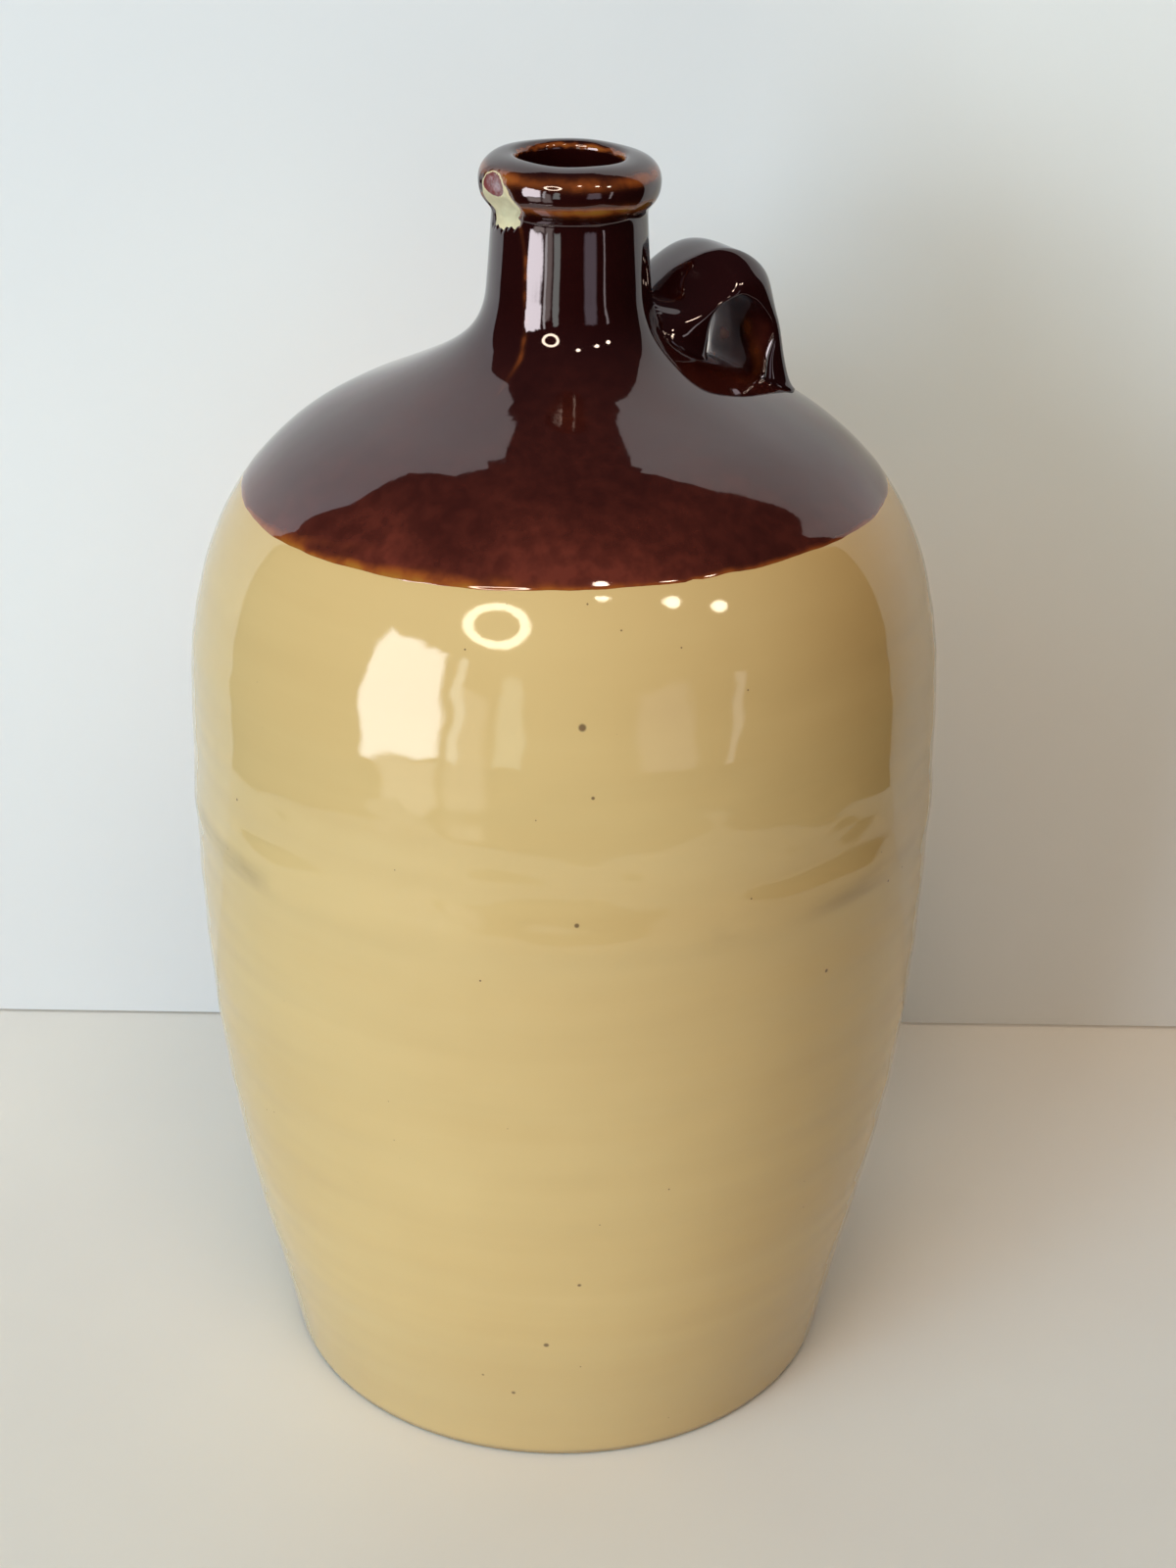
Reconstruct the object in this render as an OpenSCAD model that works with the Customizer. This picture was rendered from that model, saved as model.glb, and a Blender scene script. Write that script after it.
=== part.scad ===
// Two-tone stoneware flagon: a jug thrown in two halves and luted at the belly,
// with a rolled collar round a corked mouth and one small strap loop for a finger.
// Millimetres, +Z up, origin at the centre of the base. The loop lies along +X.

/* [Body] */
// Diameter of the clay at the foot
foot_d = 140; // [110:1:155]
// Greatest diameter of the clay
belly_d = 180; // [165:0.5:200]
// Height of the greatest diameter above the base
belly_z = 160; // [158:1:168]
// Height from the greatest diameter to where the shoulder's curve would meet the axis
shoulder_h = 99.8; // [96:0.2:104]
// Height of the lute that joins the two thrown halves
seam_z = 156; // [130:1:158]
// Thickness of the thrown wall
wall_t = 6.4; // [5:0.1:8]
// Thickness of the floor
floor_t = 8; // [6:0.5:12]
// Radius of the inside corner between floor and wall
floor_corner_r = 14; // [6:1:20]
// Bevel on the outer edge of the foot
foot_bevel = 1.5; // [0.8:0.1:2]

/* [Neck and collar] */
// Diameter of the clay neck under the collar
neck_d = 34; // [32:0.5:38]
// Diameter of the clay neck at its foot
neck_foot_d = 36.7; // [34:0.1:42]
// Height at which the flare has become the straight neck
neck_foot_z = 277.8; // [274:0.1:284]
// Length of the straight neck below the collar
neck_h = 19; // [10:0.1:24]
// Diameter of the clay collar
collar_d = 40.2; // [38.5:0.1:50]
// Height of the collar, from its groove to its crown
collar_h = 11; // [9:0.1:16]
// Diameter of the finished mouth that takes the cork
bore_d = 23.6; // [18:0.1:25]
// Depth of the rounding at the mouth's edge
mouth_round = 1.4; // [1:0.1:3]

/* [Loop handle] */
// Distance from the jug's axis to the middle of the loop's outer arm
loop_reach = 47.5; // [44:0.1:54]
// Height of the loop's root above the base, on the middle line of the strap
loop_root_z = 259.6; // [258:0.1:261]
// Rise of the strap's middle line from its root to the top of the arch
loop_rise = 19.8; // [17:0.1:21]
// Width of the strap across the arch
strap_w = 26; // [18:0.5:27]
// Thickness of the strap across the arch
strap_t = 8.7; // [6:0.1:10]
// Depth to which the outer arm runs on below the shoulder's surface
loop_bury = 3.6; // [2.5:0.1:5]

/* [Lutes and glazes] */
// Thickness of the slip that joins the two halves
seam_t = 1.2; // [0.6:0.1:2]
// Thickness of the slip under each end of the loop
pad_t = 1; // [0.6:0.1:1.6]
// Thickness of each coat of glaze
coat_t = 0.5; // [0.3:0.05:0.8]
// Height to which the dark glaze was dipped
dip_z = 232.5; // [205:0.5:240]
// Bare height at the foot, wiped clean of glaze
foot_bare = 2.2; // [1.6:0.1:6]
// How far the glaze stands out over the lute
ridge_t = 0.35; // [0:0.05:0.8]
// Height of the band over which the glaze stands out
ridge_h = 14; // [8:1:24]

/* [Chip in the collar] */
// Depth of the chip
chip_t = 2.5; // [1:0.1:3]
// Radius of the hollow that the chip left
chip_r = 14; // [7:0.5:16]
// Height of the chip's middle below the crown of the collar
chip_drop = 8.4; // [5:0.1:9]
// Direction of the chip about the axis, from the loop
chip_az = 194; // [120:1:240]

/* [Hidden] */
$fn = 96;
cream = "#d8c086";
dark = "#43201a";
clay = "#dcd3ad";
slip = "#c9bd96";

// One overrun for every cut
over = 1;
// Steps along each stretch of the wall's outline
foot_steps = 3;
wall_steps = 12;
belly_steps = 2;
shoulder_steps = 12;
slope_steps = 4;
flare_steps = 9;
collar_steps = 8;
mouth_steps = 5;
corner_steps = 6;

// The lower wall swells by these powers of the height
swell_power = 2.42;
swell_root = 1.26;
// The shoulder falls away by these powers of the height
fall_power = 3.2;
fall_root = 2.45;
// Where the flare leaves the shoulder's curve
flare_share = 0.916;
// Lengths of the flare's two handles, as shares of its height
flare_foot_share = 0.89;
flare_neck_share = 0.5;
// Width of the collar's crown from the mouth, as a share of the collar's clay
crown_share = 0.18;
// Height of the collar's widest place above its groove
collar_wide_share = 0.5;
// Squareness of the collar's roll
roll_power = 2.3;

foot_r = foot_d / 2;
belly_r = belly_d / 2;
neck_r = neck_d / 2;
neck_foot_r = neck_foot_d / 2;
collar_r = collar_d / 2;
bore_r = bore_d / 2;
clay_bore_r = bore_r + coat_t;
collar_z = neck_foot_z + neck_h;
crown_z = collar_z + collar_h;
crown_r = clay_bore_r + crown_share * (collar_r - clay_bore_r);
wide_z = collar_z + collar_wide_share * collar_h;

// Radius of the wall below and above its greatest diameter, and its slope
function lower_r(z) =
  foot_r + (belly_r - foot_r) * pow(1 - pow(1 - z / belly_z, swell_power), swell_root);
function shoulder_r(z) = belly_r * pow(1 - pow((z - belly_z) / shoulder_h, fall_power), 1 / fall_root);
function wall_r(z) = z < belly_z ? lower_r(z) : shoulder_r(z);
function shoulder_slope(u) = -belly_r * fall_power / fall_root * pow(u, fall_power - 1)
  * pow(1 - pow(u, fall_power), 1 / fall_root - 1) / shoulder_h;
// Height at which the shoulder has the radius r
function shoulder_z(r) =
  belly_z + shoulder_h * pow(1 - pow(r / belly_r, fall_root), 1 / fall_power);

function unit2(v) = v / norm(v);
function mix(a, b, t) = a + (b - a) * t;
// Points of the wall between two heights, without the last
function wall_run(z0, z1, n) = [for (i = [0 : n - 1]) let (z = mix(z0, z1, i / n)) [wall_r(z), z]];
// A cubic curve through a and d with handles b and c
function cubic(a, b, c, d, t) =
  pow(1 - t, 3) * a + 3 * pow(1 - t, 2) * t * b + 3 * (1 - t) * pow(t, 2) * c + pow(t, 3) * d;
// A quarter roll about a centre, from angle a0 to a1, as square as its power says
function power_cos(a, p) = sign(cos(a)) * pow(abs(cos(a)), 2 / p);
function power_sin(a, p) = sign(sin(a)) * pow(abs(sin(a)), 2 / p);
function roll(c, rx, rz, a0, a1, n, p) = [
  for (i = [1 : n]) let (a = mix(a0, a1, i / n)) [c.x + rx * power_cos(a, p), c.y + rz * power_sin(a, p)]
];

// The flare from the shoulder's slope to the neck
flare_z = belly_z + flare_share * shoulder_h;
flare_a = [shoulder_r(flare_z), flare_z];
flare_d = [neck_foot_r, neck_foot_z];
flare_h = neck_foot_z - flare_z;
flare_b = flare_a + flare_foot_share * flare_h * unit2([shoulder_slope(flare_share), 1]);
flare_c = flare_d - flare_neck_share * flare_h * unit2([neck_r - neck_foot_r, neck_h]);
flare = [for (i = [0 : flare_steps]) cubic(flare_a, flare_b, flare_c, flare_d, i / flare_steps)];

// The whole outside of the clay, from the foot's bevel over the collar into the mouth
corner_z = floor_t + floor_corner_r;
skin_parts = [
  [[foot_r - foot_bevel, 0]],
  [[lower_r(foot_bevel), foot_bevel]],
  wall_run(foot_bare, corner_z, foot_steps),
  wall_run(corner_z, seam_z - seam_t / 2, wall_steps),
  wall_run(seam_z - seam_t / 2, seam_z + seam_t / 2, 1),
  wall_run(seam_z + seam_t / 2, belly_z, belly_steps),
  wall_run(belly_z, dip_z, shoulder_steps),
  wall_run(dip_z, flare_z, slope_steps),
  flare,
  [[neck_r, collar_z]],
  roll([neck_r, wide_z], collar_r - neck_r, wide_z - collar_z, -90, 0, collar_steps, 2),
  roll([crown_r, wide_z], collar_r - crown_r, crown_z - wide_z, 0, 90, collar_steps, roll_power),
  roll([crown_r, crown_z - mouth_round], crown_r - clay_bore_r, mouth_round, 90, 180, mouth_steps, 2)
];
skin = [for (part = skin_parts) for (p = part) p];
// Index of the first point of a part, counted from the foot
function start_of(k, i = 0, n = 0) = i == k ? n : start_of(k, i + 1, n + len(skin_parts[i]));
i_bare = start_of(2);
i_corner = start_of(3);
i_seam_low = start_of(4);
i_seam_top = start_of(5);
i_dip = start_of(7);
i_flare = start_of(8);
i_neck = start_of(9) - 1;
i_mouth = len(skin) - 1;

// The outward direction at each point of a list that runs with the clay on its left
function outward(list, i) =
  let (d = list[min(i + 1, len(list) - 1)] - list[max(i - 1, 0)]) unit2([d.y, -d.x]);
skin_out = [
  for (i = [0 : i_mouth]) i == i_neck ? [1, 0] : i == i_mouth ? [-1, 0] : outward(skin, i)
];

// Thickness of the clay at a point of the outside, drawn in evenly along the flare
function clay_t(i) = i <= i_flare ? wall_t
  : mix(wall_t, neck_foot_r - clay_bore_r, min(1, (i - i_flare) / (i_neck - i_flare)));
hollow = [for (i = [i_corner : i_neck]) skin[i] - clay_t(i) * skin_out[i]];
hollow_corner = [hollow[0].x - floor_corner_r, corner_z];
floor_arc = [
  for (i = [0 : corner_steps - 1])
    let (a = mix(-90, 0, i / corner_steps))
      [hollow_corner.x + floor_corner_r * cos(a), floor_t + floor_corner_r + floor_corner_r * sin(a)]
];
// Radius and height of the hollow at a point of the outside
function inside(i) = hollow[i - i_corner];

// How far the outer coat stands out at a height, more over the lute
function coat_at(z) = coat_t + ridge_t * pow(cos(90 * min(1, abs(z - seam_z) / (ridge_h / 2))), 2);
// A stretch of the outside moved out by a coat
function coated(i0, i1) = [for (i = [i0 : i1]) skin[i] + coat_at(skin[i].y) * skin_out[i]];
function stretch(i0, i1) = [for (i = [i0 : i1]) skin[i]];
function backwards(list) = [for (i = [len(list) - 1 : -1 : 0]) list[i]];

module turned(outline) {
  rotate_extrude() polygon(outline);
}

// Everything inside the clay's outside, grown by a gap
module filled(gap) {
  turned(concat(
    [[0, -gap]],
    [for (i = [0 : i_mouth]) skin[i] + gap * skin_out[i]],
    [[0, crown_z - mouth_round]]
  ));
}

module chip_hollow() {
  rotate(chip_az)
    translate([collar_r - chip_t + chip_r, 0, crown_z - chip_drop])
      sphere(chip_r);
}

// Places on the strap's middle line, as shares of the reach beyond the neck and of the rise
arch_shares = [[0.1, 0], [0.27, 0.48], [0.44, 0.84], [0.67, 1]];
// Places down the outer arm, as shares of the reach and of the drop to the shoulder
arm_shares = [[0.885, 0.865], [0.985, 0.57], [1.015, 0.22]];
// Thickness and width of the strap at each of those places and at its buried end
thick_shares = [2.1, 1.58, 1.18, 1, 0.92, 0.86, 0.86, 0.92];
wide_shares = [1.08, 1.05, 1.01, 1, 0.98, 0.96, 0.98, 1.04];
strap_power = 2.8;
strap_sides = 20;
strap_steps = 4;

arch_z = loop_root_z + loop_rise;
loop_seat_r = loop_reach + strap_t / 4;
loop_seat_z = shoulder_z(loop_seat_r);
loop_line = concat(
  [for (s = arch_shares) [mix(neck_r, loop_reach, s[0]), loop_root_z + s[1] * loop_rise]],
  [for (s = arm_shares) [mix(neck_r, loop_reach, s[0]), mix(loop_seat_z, arch_z, s[1])]],
  [[loop_seat_r, loop_seat_z - loop_bury]]
);
// A smooth curve through a list, at station s, where whole numbers are the list's places
function through(list, s) =
  let (n = len(list) - 1, k = min(floor(s), n - 1), t = s - k,
       p0 = list[max(k - 1, 0)], p1 = list[k], p2 = list[k + 1], p3 = list[min(k + 2, n)])
    0.5 * (2 * p1 + (p2 - p0) * t + (2 * p0 - 5 * p1 + 4 * p2 - p3) * t * t
      + (3 * p1 - p0 - 3 * p2 + p3) * t * t * t);
strap_rings = strap_steps * (len(loop_line) - 1);
function strap_station(j) = j / strap_steps;
function strap_run(j) =
  unit2(through(loop_line, strap_station(min(j + 1, strap_rings)))
    - through(loop_line, strap_station(max(j - 1, 0))));
// One ring of the strap, grown all round by a gap
function strap_ring(j, gap) =
  let (p = through(loop_line, strap_station(j)), run = strap_run(j),
       half_t = strap_t / 2 * through(thick_shares, strap_station(j)) + gap,
       half_w = strap_w / 2 * through(wide_shares, strap_station(j)) + gap)
    [for (i = [0 : strap_sides - 1])
      let (a = 360 * i / strap_sides,
           across = half_w * power_cos(a, strap_power), off = half_t * power_sin(a, strap_power))
        [p.x - run.y * off, across, p.y + run.x * off]];
module strap(gap) {
  points = [for (j = [0 : strap_rings]) for (q = strap_ring(j, gap)) q];
  first = [for (i = [0 : strap_sides - 1]) i];
  last = [for (i = [0 : strap_sides - 1]) strap_rings * strap_sides + strap_sides - 1 - i];
  sides = [
    for (j = [0 : strap_rings - 1])
      for (i = [0 : strap_sides - 1])
        let (a = j * strap_sides + i, b = j * strap_sides + (i + 1) % strap_sides,
             c = a + strap_sides, d = b + strap_sides)
          each [[a, c, b], [b, c, d]]
  ];
  polyhedron(points, concat([first], sides, [last]));
}

module lower_body() {
  color(clay)
    turned(concat(
      [[0, 0]],
      stretch(0, i_seam_low),
      [inside(i_seam_low)],
      backwards([for (i = [i_corner : i_seam_low - 1]) inside(i)]),
      backwards(floor_arc),
      [[0, floor_t]]
    ));
}

module upper_body() {
  color(clay)
    difference() {
      turned(concat(
        stretch(i_seam_top, i_mouth),
        backwards([for (i = [i_seam_top : i_neck]) inside(i)])
      ));
      chip_hollow();
    }
}

module belly_lute() {
  color(slip)
    turned([skin[i_seam_low], skin[i_seam_top], inside(i_seam_top), inside(i_seam_low)]);
}

module loop_handle() {
  color(clay)
    difference() {
      strap(0);
      filled(pad_t);
    }
}

// The slip between the loop's ends and the clay, before it is parted at the finger hole
module pads() {
  intersection() {
    strap(0);
    difference() {
      filled(pad_t);
      filled(0);
    }
  }
}

module hole_column() {
  cylinder(r = loop_reach - strap_t, h = crown_z + over);
}

module neck_lute() {
  color(slip)
    intersection() {
      pads();
      hole_column();
    }
}

module shoulder_lute() {
  color(slip)
    difference() {
      pads();
      hole_column();
    }
}

module cream_glaze() {
  color(cream)
    turned(concat(coated(i_bare, i_dip), backwards(stretch(i_bare, i_dip))));
}

module dark_glaze() {
  color(dark)
    difference() {
      turned(concat(
        coated(i_dip, i_mouth),
        [[bore_r, neck_foot_z], [clay_bore_r, neck_foot_z]],
        backwards(stretch(i_dip, i_mouth))
      ));
      strap(coat_t);
      chip_hollow();
    }
}

module loop_glaze() {
  color(dark)
    difference() {
      strap(coat_t);
      strap(0);
      filled(0);
    }
}

// The inside of the hollow, from the middle of the floor to the foot of the neck
lining = concat([[0, floor_t]], floor_arc, hollow);
module liner_glaze() {
  color(cream)
    turned(concat(
      backwards(lining),
      [for (i = [0 : len(lining) - 1])
        i == 0 ? [0, floor_t + coat_t]
          : i == len(lining) - 1 ? [bore_r, neck_foot_z]
            : lining[i] - coat_t * outward(lining, i)]
    ));
}

lower_body();
upper_body();
belly_lute();
loop_handle();
neck_lute();
shoulder_lute();
cream_glaze();
dark_glaze();
loop_glaze();
liner_glaze();
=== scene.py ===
"""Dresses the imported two-tone stoneware flagon and sets it in soft daylight.

The clay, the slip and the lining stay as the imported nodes. The coats of glaze, the loop and the
chipped upper clay are finer surfaces worked out here from the same sizes. Lengths are in
millimetres and angles in degrees, as in the part's source, and meshes are made in metres.
"""

from __future__ import annotations

import logging
import math
from dataclasses import dataclass
from enum import Enum

import bpy
import numpy as np
from mathutils import Matrix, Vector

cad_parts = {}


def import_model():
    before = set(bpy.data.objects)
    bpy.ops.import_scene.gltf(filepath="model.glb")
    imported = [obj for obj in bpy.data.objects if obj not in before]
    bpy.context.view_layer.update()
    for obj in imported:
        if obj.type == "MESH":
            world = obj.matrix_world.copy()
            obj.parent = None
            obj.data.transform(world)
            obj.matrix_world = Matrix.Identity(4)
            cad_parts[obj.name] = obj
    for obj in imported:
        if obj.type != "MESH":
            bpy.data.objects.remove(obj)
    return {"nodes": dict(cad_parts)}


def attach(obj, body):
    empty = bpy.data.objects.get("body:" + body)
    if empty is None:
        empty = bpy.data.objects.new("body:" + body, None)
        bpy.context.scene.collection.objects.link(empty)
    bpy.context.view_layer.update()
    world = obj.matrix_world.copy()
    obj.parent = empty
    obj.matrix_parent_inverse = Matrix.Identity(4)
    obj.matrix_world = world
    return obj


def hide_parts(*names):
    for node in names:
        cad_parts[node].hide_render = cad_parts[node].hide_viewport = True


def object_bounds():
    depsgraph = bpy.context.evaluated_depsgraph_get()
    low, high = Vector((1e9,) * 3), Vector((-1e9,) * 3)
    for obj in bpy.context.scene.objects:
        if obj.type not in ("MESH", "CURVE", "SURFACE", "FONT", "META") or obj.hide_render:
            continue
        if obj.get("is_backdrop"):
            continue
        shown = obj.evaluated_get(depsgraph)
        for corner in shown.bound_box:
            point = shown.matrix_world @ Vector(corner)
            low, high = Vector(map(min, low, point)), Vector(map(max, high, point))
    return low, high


Colour = tuple[float, float, float]
Pair = tuple[float, float]
Rows = tuple[tuple[float, float, float], ...]
Spacing = tuple[tuple[str, float, float], ...]
Array = np.ndarray

log = logging.getLogger("flagon")
MM = 0.001
BODY = "root"
HALF_TURN = 180.0
DEGREES = HALF_TURN / math.pi
WAVE_SPREAD: Pair = (0.6, 1.6)
FINE_STEPS = 20000
AZIMUTH_EASE = 14
TINY = 1e-9


class Slot(Enum):
    """The record's material slots."""

    CLAY = "stoneware_clay"
    SLIP = "clay_slip"
    CREAM = "cream_glaze"
    DARK = "dark_glaze"


def smooth_step(x: Array, low: float, high: float) -> Array:
    """A soft step from 0 at low to 1 at high: 3t squared less 2t cubed."""
    t = np.clip((x - low) / (high - low), 0.0, 1.0)
    return t * t * (3.0 - 2.0 * t)


def bell(x: Array, middle: float, width: float) -> Array:
    """A bell curve of height 1: e to the minus square of the distance over the width."""
    return np.exp(-(((x - middle) / width) ** 2))


def turn_from(azimuth: Array, middle: float) -> Array:
    """Degrees from a direction, between -180 and 180."""
    return (azimuth - middle + HALF_TURN) % (2 * HALF_TURN) - HALF_TURN


def sines(angle: Array, rows: Rows) -> Array:
    """A sum of sines, each a row's height by the sine of its count times the angle plus its phase."""
    return sum(height * np.sin(np.radians(count * angle + phase)) for height, count, phase in rows)


def blurred(values: Array, steps: float) -> Array:
    """Values along a line, smoothed by a bell curve that is steps samples wide.

    Args:
        values: One row per sample.
        steps: The bell's width in samples.

    Returns:
        Smoothed values of the same shape.
    """
    reach = int(3 * steps) + 1
    weight = bell(np.arange(-reach, reach + 1), 0.0, steps * math.sqrt(2))
    weight /= weight.sum()
    before, after = 2 * values[:1] - values[reach:0:-1], 2 * values[-1:] - values[-2 : -reach - 2 : -1]
    padded = np.concatenate([before, values, after])
    return np.stack([np.convolve(column, weight, "valid") for column in padded.T], axis=-1)


def ripple(x: Array, y: Array, z: Array, length: float, seed: int, waves: int = 14) -> Array:
    """Smooth unevenness of about unit height: a sum of plane waves in random directions.

    Args:
        x: First place, in millimetres.
        y: Second place.
        z: Third place.
        length: The mean wavelength.
        seed: Picks the waves.
        waves: How many are added.

    Returns:
        The height at each place.
    """
    draw = np.random.default_rng(seed)
    total = np.zeros(np.broadcast(x, y, z).shape)
    for _ in range(waves):
        way = draw.normal(size=3)
        way *= 2 * math.pi / (length * draw.uniform(*WAVE_SPREAD) * np.linalg.norm(way))
        total += np.sin(way[0] * x + way[1] * y + way[2] * z + draw.uniform(0, 2 * math.pi))
    return total / math.sqrt(waves / 2)


def patches(azimuth: Array, z: Array, radius: float, squash: float, length: float, seed: int) -> Array:
    """Unevenness by direction and height alone: a ripple on a cylinder.

    Args:
        azimuth: Directions.
        z: Heights.
        radius: The cylinder's radius.
        squash: How much shorter the patches are than wide.
        length: Their mean width.
        seed: Picks the waves.

    Returns:
        The height at each place.
    """
    a = np.radians(azimuth)
    return ripple(radius * np.cos(a) + 0 * z, radius * np.sin(a), z * squash, length, seed)


def turned(r: Array, z: Array, azimuth: Array) -> Array:
    """Places of a grid turned about the axis: radius by cosine and sine of the direction."""
    a = np.radians(azimuth)
    return np.stack([r * np.cos(a), r * np.sin(a), np.broadcast_to(z, r.shape)], axis=-1)


def stations(marks: dict[str, float], table: Spacing) -> Array:
    """Lengths along a line with a spacing that changes evenly between given places.

    Args:
        marks: Lengths along the line, by name.
        table: Rows of a mark's name, a distance past it and the spacing there.

    Returns:
        Lengths from the first place to the last.
    """
    place = np.array([marks[name] + past for name, past, _ in table])
    gap = np.array([spacing for _, _, spacing in table])
    fine = np.linspace(place[0], place[-1], FINE_STEPS)
    count = np.concatenate([[0], np.cumsum(np.diff(fine) / np.interp(fine[1:], place, gap))])
    total = round(count[-1])
    return np.interp(np.linspace(0, count[-1], total + 1), count, fine)


def azimuths(coarse: float, fine: float, middle: float, half: float) -> Array:
    """Directions once round, closer together about one of them.

    Args:
        coarse: The spacing away from that direction.
        fine: The spacing about it.
        middle: The direction.
        half: How far to each side the spacing stays fine.

    Returns:
        Directions without the last, which is the first again.
    """
    ease = half + AZIMUTH_EASE
    rows = ((-HALF_TURN, coarse), (-ease, coarse), (-half, fine), (half, fine), (ease, coarse), (HALF_TURN, coarse))
    return stations({"middle": middle}, tuple(("middle", past, gap) for past, gap in rows))[:-1]


@dataclass(frozen=True)
class Outline:
    """A line in the half-plane of radius and height, with its outward directions."""

    r: Array
    z: Array

    @property
    def run(self) -> Array:
        """Length along the line at each point."""
        return np.concatenate([[0.0], np.cumsum(np.hypot(np.diff(self.r), np.diff(self.z)))])

    @property
    def outward(self) -> tuple[Array, Array]:
        """Radius and height parts of the outward direction: the line's direction turned by -90.

        Returns:
            Both parts at each point.
        """
        dr, dz = np.gradient(self.r), np.gradient(self.z)
        size = np.hypot(dr, dz)
        return dz / size, -dr / size

    def grown(self, gap: Array | float) -> Outline:
        """The line moved outwards by a gap at each point."""
        out_r, out_z = self.outward
        return Outline(self.r + gap * out_r, self.z + gap * out_z)

    def sampled(self, run: Array) -> Outline:
        """The line's points at given lengths along it."""
        return Outline(np.interp(run, self.run, self.r), np.interp(run, self.run, self.z))

    def run_at(self, z: float) -> float:
        """Length along the line where it first reaches a height."""
        return float(self.run[np.argmax(self.z >= z)])

    def radius_at(self, z: Array) -> Array:
        """Radius of the line's rising part at given heights."""
        rising = int(np.argmax(self.z))
        return np.interp(z, self.z[:rising], self.r[:rising])


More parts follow.
